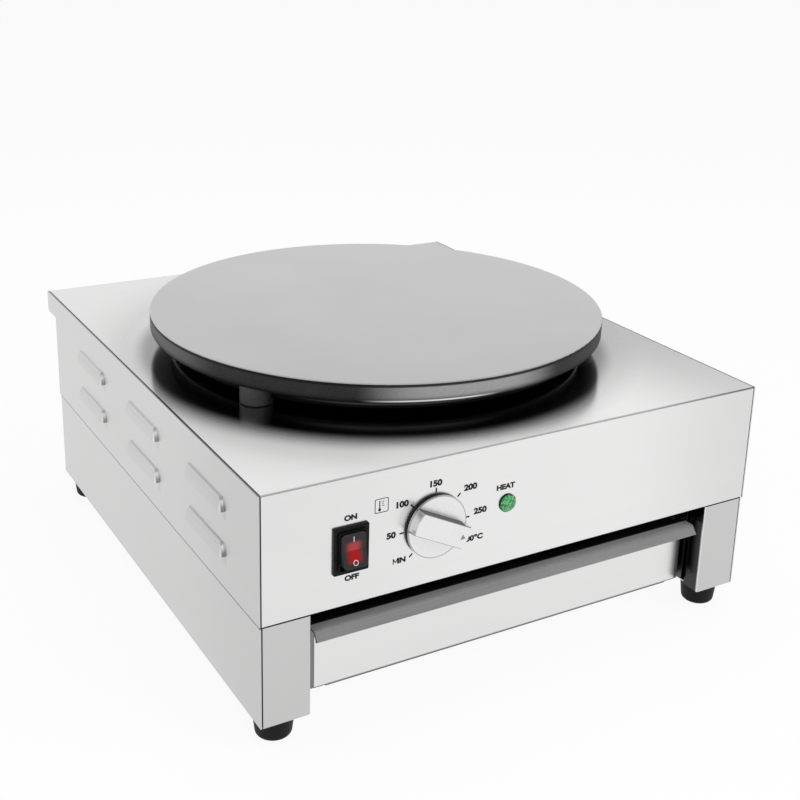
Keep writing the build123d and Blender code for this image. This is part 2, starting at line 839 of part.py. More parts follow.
# Heat shield pan with its wall notched round the legs, and the fibre pad that lies in it.
notch = leg_radius + notch_gap
with BuildPart() as heat_shield_pan:
    with BuildSketch(Plane.XY.offset(pan_under)):
        with Locations((0, plate_y)):
            Circle(pan_radius)
    extrude(amount=recess_under - pan_under)
    fillet(heat_shield_pan.edges().filter_by(GeomType.CIRCLE).sort_by(Axis.Z)[0], bend_radius)
    offset(amount=-pan_sheet, openings=heat_shield_pan.faces().sort_by(Axis.Z)[-1])
    with BuildSketch(Plane.XY.offset(pan_under)):
        with Locations((0, plate_y)):
            Circle(pan_hole_radius)
            with leg_places():
                Circle(notch)
    extrude(amount=recess_under - pan_under, mode=Mode.SUBTRACT)
keep(heat_shield_pan, "heat_shield_pan")

with BuildPart() as insulation_pad:
    with BuildSketch(Plane.XY.offset(pan_under + pan_sheet)):
        with Locations((0, plate_y)):
            Circle(pan_radius - pan_sheet - bend_radius)
            Circle(pan_hole_radius + pad_gap, mode=Mode.SUBTRACT)
            with leg_places():
                Circle(notch + pad_gap, mode=Mode.SUBTRACT)
    extrude(amount=pad_thickness)
keep(insulation_pad, "insulation_pad")

with BuildPart() as wiring_bush:
    with BuildSketch(Plane.XY.offset(roof)):
        with Locations((0, plate_y)):
            Circle(pan_hole_radius + 2 * bush_wall)
    extrude(amount=pan_lift)
    with BuildSketch(Plane.XY.offset(roof)):
        with Locations((0, plate_y)):
            Circle(pan_hole_radius + bush_wall)
    extrude(amount=-bush_neck)
    with BuildSketch(Plane.XY.offset(pan_under)):
        with Locations((0, plate_y)):
            Circle(pan_hole_radius)
    extrude(amount=-pan_lift - bush_neck, mode=Mode.SUBTRACT)
keep(wiring_bush, "wiring_bush")

# ------------------------------------------------------------------ switch
window_height = 2 * (rocker_reach + frame_wall + window_gap)
switch_body_height = 2 * (rocker_reach + 2 * frame_wall)
frame_height = window_height + 2 * frame_wall
window_width = rocker_width + 2 * loose_fit
frame_width = window_width + 2 * frame_wall
with BuildPart() as switch_housing:
    with BuildSketch(FRONT):
        with Locations((switch_x, switch_z)):
            RectangleRounded(bezel_width, bezel_height, bezel_corner)
    extrude(amount=bezel_proud)
    fillet(switch_housing.edges().group_by(Axis.Y)[0], bezel_edge)
    with BuildSketch(FRONT):
        with Locations((switch_x, switch_z)):
            RectangleRounded(frame_width, frame_height, frame_radius)
    extrude(amount=frame_proud)
    with BuildSketch(FRONT):
        with Locations((switch_x, switch_z)):
            Rectangle(switch_body_width, switch_body_height)
    extrude(amount=-switch_body_depth)
    with BuildSketch(FRONT.offset(frame_proud)):
        with Locations((switch_x, switch_z)):
            Rectangle(window_width, window_height)
    extrude(amount=-frame_proud - rocker_well, mode=Mode.SUBTRACT)
    with BuildSketch(Plane.YZ.offset(switch_x)):
        with Locations((front + rocker_sink, switch_z)):
            Circle(rocker_pin_radius + running_fit)
    extrude(amount=switch_body_width / 2 - pin_end_wall, both=True, mode=Mode.SUBTRACT)
keep(switch_housing, "switch_housing")

# Rocker: two wings in a shallow V on a pivot, here with the upper wing pressed in (on).
pivot = (front + rocker_sink, switch_z)
valley = rocker_tip_out - rocker_reach * tan(radians(rocker_throw / 2))
rocker_outline = [
    (-valley, 0),
    (-rocker_tip_out, rocker_reach),
    (rocker_shoulder, rocker_reach - rocker_draft),
    (rocker_back, rocker_back_half),
    (rocker_back, -rocker_back_half),
    (rocker_shoulder, rocker_draft - rocker_reach),
    (-rocker_tip_out, -rocker_reach),
]
lens_half = rocker_reach - rocker_corner
lens_rise = lens_half * tan(radians(rocker_throw / 2))
lens_outline = [
    (-valley, 0),
    (-valley - lens_rise, lens_half),
    (-valley - lens_rise + lens_depth, lens_half),
    (-valley + lens_depth, 0),
    (-valley - lens_rise + lens_depth, -lens_half),
    (-valley - lens_rise, -lens_half),
]
lens_width = rocker_width - 2 * lens_margin
with BuildPart() as power_rocker:
    with BuildSketch(Plane.YZ.offset(switch_x)):
        with Locations(pivot):
            Polygon(*rocker_outline, rotation=-rocker_throw / 2, align=None)
            Circle(rocker_pin_radius + running_fit, mode=Mode.SUBTRACT)
    extrude(amount=rocker_width / 2, both=True)
    corners = power_rocker.edges().filter_by(
        lambda edge: abs(edge.center().Z - switch_z) > 0.8 * rocker_reach
        and abs(edge.center().X - switch_x) > 0.45 * rocker_width
    )
    fillet(corners, rocker_corner)
    with BuildSketch(Plane.YZ.offset(switch_x)):
        with Locations(pivot):
            Polygon(*lens_outline, rotation=-rocker_throw / 2, align=None)
    extrude(amount=lens_width / 2, both=True, mode=Mode.SUBTRACT)
keep(power_rocker, "rocker_frame")

with BuildPart() as rocker_lens:
    with BuildSketch(Plane.YZ.offset(switch_x)):
        with Locations(pivot):
            Polygon(*lens_outline, rotation=-rocker_throw / 2, align=None)
    extrude(amount=lens_width / 2, both=True)
keep(rocker_lens, "rocker_lens")

with BuildPart() as rocker_pin:
    with BuildSketch(Plane.YZ.offset(switch_x)):
        with Locations(pivot):
            Circle(rocker_pin_radius)
    extrude(amount=switch_body_width / 2 - pin_end_wall, both=True)
keep(rocker_pin, "rocker_pin")

with BuildPart() as switch_terminals:
    with BuildSketch(FRONT.offset(-switch_body_depth)):
        with Locations((switch_x, switch_z)):
            with GridLocations(blade_pitch_x, blade_pitch_z, 2, 2):
                Rectangle(blade_thickness, blade_width)
    extrude(amount=-blade_length)
keep(switch_terminals, "switch_terminals")

# ------------------------------------------------------------------ thermostat and its knob
bracket_y = front + sheet
body_y = bracket_y + bracket_sheet
collar_radius = spindle_radius + collar_wall
with BuildPart() as thermostat_bracket:
    with BuildSketch(Plane.XZ.offset(-bracket_y)):
        with Locations((dial_x, dial_z)):
            RectangleRounded(thermostat_screw_spacing + 2 * bracket_end, bracket_height, bracket_corner)
            Circle(spindle_radius + spindle_hole_gap, mode=Mode.SUBTRACT)
            with GridLocations(thermostat_screw_spacing, 0, 2, 1):
                Circle(screw_radius + running_fit, mode=Mode.SUBTRACT)
    extrude(amount=-bracket_sheet)
keep(thermostat_bracket, "thermostat_bracket")

with BuildPart() as thermostat_screws:
    with BuildSketch(FRONT):
        with Locations((dial_x, dial_z)):
            with GridLocations(thermostat_screw_spacing, 0, 2, 1):
                Circle(screw_head_radius)
    extrude(amount=screw_head)
    with BuildSketch(FRONT):
        with Locations((dial_x, dial_z)):
            with GridLocations(thermostat_screw_spacing, 0, 2, 1):
                Circle(screw_radius)
    extrude(amount=-sheet - bracket_sheet)
keep(thermostat_screws, "thermostat_screws")

with BuildPart() as thermostat_body:
    with BuildSketch(Plane.XZ.offset(-body_y)):
        with Locations((dial_x, dial_z)):
            RectangleRounded(thermostat_width, thermostat_height, thermostat_corner)
    extrude(amount=-thermostat_depth)
    with BuildSketch(Plane.XZ.offset(-body_y)):
        with Locations((dial_x, dial_z)):
            Circle(collar_radius)
    extrude(amount=bracket_sheet + sheet)
    with BuildSketch(FRONT):
        with Locations((dial_x, dial_z)):
            Circle(spindle_radius + running_fit)
    extrude(amount=-sheet - bracket_sheet - spindle_in_body - spindle_end_gap, mode=Mode.SUBTRACT)
keep(thermostat_body, "thermostat_body")

under_rings = clamp_top - capillary_under
capillary_y = plate_y + capillary_behind
body_back = body_y + thermostat_depth
bulb_end = plate_y + bulb_length / 2
with BuildPart() as capillary:
    with BuildLine() as capillary_path:
        FilletPolyline(
            (bulb_x, bulb_end, bulb_z),
            (bulb_x, bulb_end + capillary_lead, bulb_z),
            (bulb_x + capillary_step_x, bulb_end + capillary_step_y, under_rings),
            (capillary_x, capillary_y, under_rings),
            (capillary_x, capillary_y, dial_z),
            (dial_x, body_back + capillary_slack, dial_z),
            (dial_x, body_back, dial_z),
            radius=capillary_bend,
        )
    with BuildSketch(Plane.XZ.offset(-bulb_end)):
        with Locations((bulb_x, bulb_z)):
            Circle(capillary_radius)
    sweep(path=capillary_path.wire())
keep(capillary, "capillary")

knob_back = FRONT.offset(knob_gap)
with BuildPart() as thermostat_spindle:
    with BuildSketch(knob_back.offset(spindle_in_knob)):
        with Locations((dial_x, dial_z)):
            Circle(spindle_radius)
    extrude(amount=-spindle_in_knob - knob_gap - sheet - bracket_sheet - spindle_in_body)
keep(thermostat_spindle, "thermostat_spindle")

with BuildPart() as thermostat_knob:
    with BuildSketch(knob_back):
        with Locations((dial_x, dial_z)):
            Circle(knob_radius)
    extrude(amount=knob_disc)
    with BuildSketch(knob_back.offset(knob_disc)):
        with Locations((dial_x, dial_z)):
            Circle(knob_radius)
            Rectangle(
                2 * knob_radius,
                knob_grip_width,
                rotation=knob_pointer_angle,
                mode=Mode.INTERSECT,
            )
    extrude(amount=knob_grip, taper=knob_draft)
    fillet(thermostat_knob.edges().group_by(Axis.Y)[0], knob_edge)
    with BuildSketch(knob_back):
        with Locations((dial_x, dial_z)):
            Circle(knob_radius - knob_rim)
            Circle(spindle_radius + knob_boss, mode=Mode.SUBTRACT)
    extrude(amount=knob_recess, mode=Mode.SUBTRACT)
    with BuildSketch(knob_back):
        with Locations((dial_x, dial_z)):
            Circle(spindle_radius + running_fit)
    extrude(amount=spindle_in_knob, mode=Mode.SUBTRACT)
keep(thermostat_knob, "thermostat_knob")

# ------------------------------------------------------------------ indicator lamp
with BuildPart() as lamp_body:
    with BuildSketch(FRONT):
        with Locations((lamp_x, lamp_z)):
            Circle(lamp_radius)
    extrude(amount=lamp_collar)
    with BuildSketch(FRONT):
        with Locations((lamp_x, lamp_z)):
            Circle(lamp_stem_radius)
    extrude(amount=-lamp_stem)
keep(lamp_body, "lamp_body")

with BuildPart() as lamp_lens:
    with BuildSketch(FRONT.offset(lamp_collar)):
        with Locations((lamp_x, lamp_z)):
            Circle(lamp_radius - lamp_step)
    extrude(amount=lamp_rise - lamp_collar)
    fillet(lamp_lens.edges().group_by(Axis.Y)[0], lamp_edge)
keep(lamp_lens, "lamp_lens")

with BuildPart() as lamp_nut:
    with BuildSketch(FRONT.offset(-sheet)):
        with Locations((lamp_x, lamp_z)):
            RegularPolygon(lamp_nut_radius, 6, major_radius=False)
            Circle(lamp_stem_radius + running_fit, mode=Mode.SUBTRACT)
    extrude(amount=-lamp_nut_height)
keep(lamp_nut, "lamp_nut")

# ------------------------------------------------------------------ rear connections
with BuildPart() as cable_gland:
    with BuildSketch(REAR):
        with Locations((gland_x, gland_z)):
            RegularPolygon(gland_hex / 2, 6, major_radius=False)
    extrude(amount=-gland_flange)
    with BuildSketch(REAR):
        with Locations((gland_x, gland_z)):
            Circle(gland_radius)
    extrude(amount=sheet + gland_thread)
    with BuildSketch(REAR.offset(-gland_proud)):
        with Locations((gland_x, gland_z)):
            Circle(gland_bore)
    extrude(amount=gland_proud + sheet + gland_thread, mode=Mode.SUBTRACT)
keep(cable_gland, "cable_gland")

with BuildPart() as gland_dome:
    with BuildSketch(REAR.offset(-gland_flange)):
        with Locations((gland_x, gland_z)):
            RegularPolygon(gland_hex / 2 - gland_dome_step, 6, major_radius=False)
    extrude(amount=gland_flange - gland_proud / 2)
    with BuildSketch(REAR.offset(-gland_proud / 2)):
        with Locations((gland_x, gland_z)):
            Circle(gland_hex / 2 - 2 * gland_dome_step)
    extrude(amount=-gland_proud / 2, taper=18)
    fillet(gland_dome.edges().group_by(Axis.Y)[-1], gland_dome_edge)
    with BuildSketch(REAR.offset(-gland_flange)):
        with Locations((gland_x, gland_z)):
            Circle(gland_bore)
    extrude(amount=gland_flange - gland_proud, mode=Mode.SUBTRACT)
keep(gland_dome, "gland_dome")

with BuildPart() as gland_locknut:
    with BuildSketch(REAR.offset(sheet)):
        with Locations((gland_x, gland_z)):
            RegularPolygon(gland_hex / 2, 6, major_radius=False)
            Circle(gland_radius + running_fit, mode=Mode.SUBTRACT)
    extrude(amount=locknut_height)
keep(gland_locknut, "gland_locknut")

terminal_y = rear - terminal_from_rear
with BuildPart() as terminal_block:
    with BuildSketch(Plane.XY.offset(floor_top)):
        with Locations((gland_x, terminal_y)):
            RectangleRounded(terminal_length, terminal_width, terminal_corner)
    extrude(amount=terminal_height)
    with BuildSketch(Plane.XY.offset(floor_top + terminal_height)):
        with Locations((gland_x, terminal_y)):
            with GridLocations(terminal_pitch_x, terminal_pitch_y, 3, 2):
                Circle(terminal_hole_radius)
    extrude(amount=-terminal_hole_depth, mode=Mode.SUBTRACT)
keep(terminal_block, "terminal_block")

with BuildPart() as earth_stud:
    with BuildSketch(Plane.XY.offset(floor_top)):
        with Locations((gland_x - earth_offset, terminal_y)):
            RegularPolygon(earth_nut_radius, 6, major_radius=False)
    extrude(amount=earth_nut_height)
    with BuildSketch(Plane.XY.offset(floor_top)):
        with Locations((gland_x - earth_offset, terminal_y)):
            Circle(earth_stud_radius)
    extrude(amount=earth_stud_height)
keep(earth_stud, "earth_stud")

# Overheat cut-out with a sprung reset button through the back panel.
bushing_radius = reset_radius + bushing_wall
with BuildPart() as overheat_cutout:
    with BuildSketch(REAR.offset(sheet)):
        with Locations((reset_x, reset_z)):
            RectangleRounded(cutout_length, cutout_height, cutout_corner)
    extrude(amount=cutout_depth)
    with BuildSketch(REAR.offset(sheet)):
        with Locations((reset_x, reset_z)):
            Circle(bushing_radius)
    extrude(amount=-sheet - bushing_proud)
    with BuildSketch(REAR.offset(-bushing_proud)):
        with Locations((reset_x, reset_z)):
            Circle(reset_radius + running_fit)
    extrude(amount=bushing_proud + sheet + reset_bore, mode=Mode.SUBTRACT)
keep(overheat_cutout, "overheat_cutout")

with BuildPart() as cutout_nut:
    with BuildSketch(REAR):
        with Locations((reset_x, reset_z)):
            RegularPolygon(bushing_radius + cutout_nut_rim, 6, major_radius=False)
            Circle(bushing_radius + running_fit, mode=Mode.SUBTRACT)
    extrude(amount=-cutout_nut_height)
keep(cutout_nut, "cutout_nut")

with BuildPart() as reset_button:
    with BuildSketch(REAR.offset(-bushing_proud - reset_proud)):
        with Locations((reset_x, reset_z)):
            Circle(reset_radius)
    extrude(amount=bushing_proud + reset_proud + sheet + reset_bore - reset_travel - reset_end_gap)
    fillet(reset_button.edges().group_by(Axis.Y)[-1], reset_edge)
keep(reset_button, "reset_button")

# ------------------------------------------------------------------ write one STEP file a piece
os.makedirs("parts", exist_ok=True)
for piece in finished:
    export_step(piece.part, f"parts/{piece.part.label}.step")
print(len(finished), "pieces written")
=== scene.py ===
# %% [markdown]
# An electric crepe maker: a round cast plate over a square sheet-steel housing with a drawer, a rocker switch, a
# thermostat knob and a lamp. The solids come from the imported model, so nothing here moves or reshapes them. This
# script gives them their finishes, adds the printing and the small pieces that are too fine for the solids, and sets
# up a plain studio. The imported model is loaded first, because every piece takes its place from it.

# %% Load the solids and keep their size
import json
import math
import bmesh
import bpy
from mathutils import Matrix, Vector


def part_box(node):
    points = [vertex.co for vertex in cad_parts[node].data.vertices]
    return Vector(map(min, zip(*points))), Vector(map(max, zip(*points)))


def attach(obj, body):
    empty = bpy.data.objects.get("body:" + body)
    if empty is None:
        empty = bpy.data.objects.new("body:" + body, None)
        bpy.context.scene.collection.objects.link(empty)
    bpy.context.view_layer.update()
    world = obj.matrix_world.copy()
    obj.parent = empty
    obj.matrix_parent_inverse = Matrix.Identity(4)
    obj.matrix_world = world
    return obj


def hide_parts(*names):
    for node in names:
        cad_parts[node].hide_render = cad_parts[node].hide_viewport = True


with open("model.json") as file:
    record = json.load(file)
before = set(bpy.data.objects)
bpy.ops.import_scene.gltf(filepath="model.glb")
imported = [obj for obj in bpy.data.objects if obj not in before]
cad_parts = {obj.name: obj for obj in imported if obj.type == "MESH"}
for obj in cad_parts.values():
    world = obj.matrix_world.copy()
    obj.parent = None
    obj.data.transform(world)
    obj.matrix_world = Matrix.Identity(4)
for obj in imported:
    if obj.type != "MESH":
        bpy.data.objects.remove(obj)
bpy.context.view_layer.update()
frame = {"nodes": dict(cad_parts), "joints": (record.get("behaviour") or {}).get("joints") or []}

# %% [markdown]
# The camera stands in front, to the left and well above the plate. Pictures of boxy things are often taken with the
# lens tilted less than the view asks, and the frame shifted down, so that upright edges stay nearly upright. A small
# vertical shift does the same here. The camera's axes are worked out from its heading, its tilt and a small roll.

# %% Camera
picture_size = 800
focal_pixels = 1297.36
camera_place = Vector((-0.54143, -0.96701, 0.59214))
heading, tilt, roll = 0.530373, 0.311543, 0.027123

forward = Vector((math.sin(heading) * math.cos(tilt), math.cos(heading) * math.cos(tilt), -math.sin(tilt)))
level_right = forward.cross(Vector((0, 0, 1))).normalized()
level_up = level_right.cross(forward)
right = level_right * math.cos(roll) + level_up * math.sin(roll)
up = level_up * math.cos(roll) - level_right * math.sin(roll)

camera = bpy.data.objects.new("camera", bpy.data.cameras.new("camera"))
bpy.context.scene.collection.objects.link(camera)
camera.matrix_world = Matrix.Translation(camera_place) @ Matrix((right, up, -forward)).transposed().to_4x4()
camera.data.sensor_width = 36
camera.data.lens = focal_pixels * camera.data.sensor_width / picture_size
camera.data.shift_y = -0.12
bpy.context.scene.camera = camera
bpy.context.scene.view_settings.view_transform = "Standard"
print("camera: lens", round(camera.data.lens, 2), "mm, looking down", round(math.degrees(tilt), 1), "degrees")

# %% [markdown]
# A finish is a tree of shader nodes. Written out link by link it is long and hard to read, so a helper lets a finish
# be written as a sum. A wire is one output socket, and adding or multiplying wires adds Math nodes. Most masks are a
# distance turned into a smooth step from 0 to 1, or into a band that is 1 between two places.

# %% Wires
class Wire:
    """One output socket, with arithmetic that adds Math nodes."""

    def __init__(self, finish, socket):
        self.finish, self.socket = finish, socket

    def maths(self, operation, *values):
        return self.finish.node("Math", {"operation": operation}, dict(enumerate(values)))

    def __add__(self, other): return self.maths("ADD", self, other)
    def __radd__(self, other): return self.maths("ADD", other, self)
    def __sub__(self, other): return self.maths("SUBTRACT", self, other)
    def __rsub__(self, other): return self.maths("SUBTRACT", other, self)
    def __mul__(self, other): return self.maths("MULTIPLY", self, other)
    def __truediv__(self, other): return self.maths("DIVIDE", self, other)
    def __abs__(self): return self.maths("ABSOLUTE", self)

    def most(self, other): return self.maths("MAXIMUM", self, other)

    def fade(self, start, end):
        """Goes smoothly from 0 at one value to 1 at another."""
        return self.finish.node("MapRange", {"interpolation_type": "SMOOTHSTEP"},
                                {"Value": self, "From Min": start, "From Max": end})

    def band(self, rise_start, rise_end, fall_start, fall_end):
        """1 between two values and 0 outside them, with a smooth rise and a smooth fall."""
        return self.fade(rise_start, rise_end) * self.fade(fall_end, fall_start)


print("wires: arithmetic, fade and band")

# %% [markdown]
# A finish owns the tree. Its node method makes any node: type, settings, then the values or wires of its sockets. The
# others make what the finishes need again and again: places and distances on the object in metres, noise for grain
# and mottle, and a colour from a varying brightness. The wear method feeds the shader and gives the material back.

# %% Finishes
class Finish:
    """A material, or the world, whose shader is fed by wires."""

    def __init__(self, name, kind="materials", shader="Principled BSDF"):
        self.material = getattr(bpy.data, kind).new(name)
        self.material.use_nodes = True
        self.tree = self.material.node_tree
        self.shader = self.tree.nodes[shader]

    def plug(self, socket, value):
        if isinstance(value, Wire):
            self.tree.links.new(value.socket, socket)
        else:
            socket.default_value = value

    def node(self, kind, settings=None, sockets=None, output=0):
        made = self.tree.nodes.new("ShaderNode" + kind)
        for key, value in (settings or {}).items():
            setattr(made, key, value)
        for key, value in (sockets or {}).items():
            self.plug(made.inputs[key], value)
        return Wire(self, made.outputs[output])

    def vector(self, operation, first, second=(0, 0, 0), output=0):
        return self.node("VectorMath", {"operation": operation}, {0: first, 1: second}, output)

    def place(self, stretch=(1, 1, 1)):
        """The object's own coordinates in metres, stretched for a pattern."""
        return self.vector("MULTIPLY", self.node("TexCoord", output="Object"), stretch)

    def along(self, axis, start=0.0):
        """How far a point lies along X, Y or Z, in metres from a start."""
        return self.node("SeparateXYZ", {}, {0: self.place()}, output=axis) - start

    def near(self, axis, place, reach):
        """1 at a place along an axis, on both sides of the middle for X, and 0 at a reach from it."""
        where = abs(self.along(axis)) if axis == "X" else self.along(axis)
        return abs(where - place).fade(reach, reach * 0.4)

    def distance(self, centre, counted=(1, 1, 0)):
        """Distance in metres from an axis through a centre. The coordinates that are counted have a 1."""
        flat = self.vector("MULTIPLY", self.vector("SUBTRACT", self.place(), centre), counted)
        return self.vector("LENGTH", flat, output="Value")

    def towards(self, degrees, half_angle, centre, radius):
        """1 on the side of a round piece that looks in a direction, counted in degrees from -Y towards -X."""
        turn = math.radians(degrees)
        ahead = (self.along("X", centre.x) * -math.sin(turn) + self.along("Y", centre.y) * -math.cos(turn)) / radius
        return ahead.fade(math.cos(math.radians(half_angle)), math.cos(math.radians(half_angle * 0.25)))

    def noise(self, scale=1.0, stretch=(1, 1, 1), detail=2.0, roughness=0.5):
        return self.node("TexNoise", {}, {"Vector": self.place(stretch), "Scale": scale, "Detail": detail,
                                          "Roughness": roughness})

    def rings(self, distance, scale):
        """Fine rings, as a lathe leaves them: noise that changes only with the distance from the axis."""
        return self.node("TexNoise", {"noise_dimensions": "1D"}, {"W": distance, "Scale": scale, "Detail": 2.0})

    def grey(self, value, tint=(1, 1, 1)):
        """A varying brightness turned into a colour."""
        return self.vector("MULTIPLY", self.node("CombineColor", {}, {0: value, 1: value, 2: value}), tint)

    def blend(self, factor, first, second):
        return self.node("Mix", {"data_type": "RGBA"}, {0: factor, 6: first, 7: second}, output=2)

    def relief(self, height, distance):
        return self.node("Bump", {}, {"Height": height, "Distance": distance, "Strength": 1.0})

    def ray(self, kind):
        """1 for one kind of ray: Camera, Glossy or Transmission."""
        return self.node("LightPath", output=f"Is {kind} Ray")

    def wear(self, **sockets):
        """Feed the shader and give the material back: keys are the shader's sockets with _ for a space."""
        for key, value in sockets.items():
            self.plug(self.shader.inputs[key.replace("_", " ")], value)
        return self.material


print("finishes: places, masks, noise and the shader's sockets")

# %% [markdown]
# The housing is stainless sheet with a brushed satin face. Brushing is thousands of hairline scratches that all run
# one way, so it is a noise stretched a few hundred times longer along the scratches than across them. It moves the
# roughness and a very shallow bump, while a slow noise keeps large faces from looking like flat paint. A sheet can
# also be told where its joints are dark, where shade and light are painted on it, where it is polished smoother and
# where it turns more matt.

# %% Brushed stainless sheet
def brushed_sheet(name, shade, grain_axis, rough=0.3, streaks=1.0, metal=1.0, dark=None, smooth=None, satin=None):
    """Satin sheet. dark is a mask of its joints and folds and of painted shade and light, smooth how much rough drops,
    satin how much metal drops.
    """
    finish = Finish(name)

    def scratches(along, across, detail):
        return finish.noise(stretch=tuple(along if axis == grain_axis else across for axis in "xyz"), detail=detail)

    fine, broad = scratches(6.0, 1500.0, 2.0), scratches(2.0, 90.0, 3.0)
    cloud = finish.noise(6.0, detail=1.0)
    bright = shade + ((fine - 0.5) * 0.05 + (broad - 0.5) * 0.025 + (cloud - 0.5) * 0.04) * streaks
    if dark:
        bright = bright * (1 - dark(finish))
    if smooth:
        rough = rough - smooth(finish)
    if satin:
        metal = metal - satin(finish)
    return finish.wear(Base_Color=finish.grey(bright, (1.0, 0.998, 0.995)), Metallic=metal,
                       Roughness=rough + ((fine - 0.5) * 0.08 + (cloud - 0.5) * 0.03) * streaks,
                       Normal=finish.relief(fine, 0.0000015 * streaks))


def left_edge(finish, place):
    """1 on the sheet's cut edge at the left, where it stands against its neighbour."""
    return abs(finish.along("X") - place).fade(0.0006, 0.0002)


back_steel = brushed_sheet("back_steel", 0.74, "x", rough=0.30)
inner_steel = brushed_sheet("inner_steel", 0.46, "y", rough=0.42)
# Painted shade: the strips beside the drawer's face are dark for the gap they close.
painted_shade_strip = brushed_sheet("painted_shade_strip", 0.22, "z", rough=0.35)
# Painted shade: the runners in the drawer's bay and the corner angles are dark for the shade there.
painted_shade_bay = brushed_sheet("painted_shade_bay", 0.13, "y", rough=0.35)
painted_shade_angle = brushed_sheet("painted_shade_angle", 0.05, "y", rough=0.6)
print("plain brushed sheet:", back_steel.name, inner_steel.name, painted_shade_strip.name, painted_shade_bay.name, painted_shade_angle.name)

# %% [markdown]
# The top of the cover is not one even sheet. Under the hot plate it is smoother and painted darker as a shadow, so
# it mirrors the plate almost black, and outside that zone it turns satin within a few centimetres. The zone is round,
# but its middle lies a little to the left and front of the plate's axis. Painted shade also darkens the top towards
# the right and the back and lightens it at the front, darkens the panel in front towards its ends, and marks the front
# fold with a thin dark line.

# %% Top cover with its painted shadow under the plate
cover_low, cover_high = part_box("top_cover")
plate_low, plate_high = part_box("griddle_plate")
plate_centre, plate_radius = (plate_low + plate_high) / 2, (plate_high.x - plate_low.x) / 2
zone_centre = plate_centre - Vector((0.008, 0.010, 0))


def cover_top(finish):
    """1 on the top face of the cover."""
    return finish.along("Z", cover_high.z).fade(-0.0012, -0.0004)


def cover_joints_and_painted_shade(finish):
    # The left edge line is a joint; the rest is painted shade and light, set by place on the cover.
    front_fold = finish.near("Y", cover_low.y, 0.0016) * finish.near("Z", cover_high.z, 0.0016)
    on_top = cover_top(finish)
    # A painted shadow under the plate, round the zone's middle.
    painted_plate_shadow = finish.distance(zone_centre).fade(0.214, 0.197) * 0.50
    towards_front = finish.along("Y", cover_low.y).fade(0.14, 0.0) * -0.12 + 0.05
    right_side = finish.along("X").fade(0.09, 0.225) * 0.34
    towards_ends = abs(finish.along("X", 0.03)).fade(0.04, 0.25) * 0.08 - 0.02
    right_end = finish.along("X").fade(0.08, 0.22) * 0.08
    sheen = on_top * (towards_front + right_side + painted_plate_shadow) + (1 - on_top) * (towards_ends + right_end)
    return (front_fold * 0.55).most(left_edge(finish, cover_low.x) * 0.85) + sheen


def cover_polish(finish):
    return cover_top(finish) * finish.distance(zone_centre).fade(0.240, 0.215) * 0.10


def cover_satin(finish):
    return cover_top(finish) * finish.distance(zone_centre).fade(0.203, 0.240) * 0.68


cover_steel = brushed_sheet("cover_steel", 0.82, "x", rough=0.25, streaks=0.8, dark=cover_joints_and_painted_shade, smooth=cover_polish,
                            satin=cover_satin)
print("cover:", cover_steel.name, "with the zone's middle at", tuple(round(v, 4) for v in zone_centre.xy))

# %% [markdown]
# The pillars, the drawer's face and its lip are separate sheets. Where two sheets meet there is a dark line, and along
# the pillars' folds there is a painted highlight: both are bands a millimetre wide at a known x, y or z. Painted shade
# darkens the pillars' inner walls, a line under the drawer face's hem and a line along the lip's lower edge, and the
# lip's cut ends are dark. The lip's flat top has painted light in front and a painted black shadow at the back, where
# it runs in under the cover.

# %% Pillars, drawer face and lip
pillar_low, pillar_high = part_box("right_pillar")
front_low, front_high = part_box("drawer_front")
lip_low, lip_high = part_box("drawer_lip")


def pillar_joints_and_painted_light(finish):
    # The corner line is a joint; the bright fold is a painted highlight and the dark inner wall is painted shade.
    corner = left_edge(finish, -pillar_high.x) * 0.85
    behind_front = finish.along("Y", pillar_low.y)
    painted_fold_highlight = finish.near("X", pillar_low.x, 0.0010) * behind_front.fade(0.0014, 0.0008) * 0.25
    inner_wall_painted_shade = finish.near("X", pillar_low.x, 0.0012) * behind_front.fade(0.0012, 0.0026) * 0.91
    return corner.most(inner_wall_painted_shade) - painted_fold_highlight


def drawer_painted_shadow_line(finish):
    # A painted shadow line along the foot of the face's hem.
    return finish.near("Z", front_low.z + 0.0008, 0.0022) * 0.80


def lip_shade(finish):
    # Painted light and shade: a black shadow at the back of the flat top, a lighter flat top in front, a dark lower
    # line.
    flat = finish.along("Z", lip_high.z).fade(-0.00025, -0.00005)
    under_cover = finish.along("Y", lip_high.y).fade(-0.0075, -0.0060) * flat
    cut_end = finish.near("X", lip_high.x, 0.0006) * 0.7
    front_line = finish.near("Z", lip_low.z, 0.0004) * 0.8
    return front_line.most(under_cover * 0.97).most(cut_end) - flat * (1 - under_cover) * 1.3


pillar_steel = brushed_sheet("pillar_steel", 0.59, "z", rough=0.24, streaks=0.4, dark=pillar_joints_and_painted_light)
drawer_steel = brushed_sheet("drawer_steel", 0.80, "x", rough=0.24, streaks=0.6, dark=drawer_painted_shadow_line)
lip_steel = brushed_sheet("lip_steel", 0.30, "x", rough=0.50, streaks=3.0, metal=0.55, dark=lip_shade)
print("front sheets:", pillar_steel.name, drawer_steel.name, lip_steel.name)

# %% [markdown]
# Each side panel is stamped with six louvres. Their hoods stand proud of the panel, so where |x| is past the sheet's
# own face a mask knows that it is on a hood. A second one along y, repeated for the three columns, picks the front
# ends, and one along z, repeated for the two rows, their feet. The hoods carry a little painted shade, their folds and
# ends painted highlights, and where an end meets the sheet low down there is one small painted shadow. The sheet is
# also painted darker towards the front.

# %% Side sheet with its louvres
sheet_face = 0.2250  # |x| of the side sheet's outer face
base_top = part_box("left_base_panel")[1].z
hood_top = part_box("left_side_panel")[0].x + 0.0005  # points further out than this lie on a hood


def cluster_starts(values, gap):
    """The first value of each cluster in a list of numbers."""
    values = sorted(values)
    return [value for before, value in zip([values[0] - 1] + values, values) if value - before > gap]


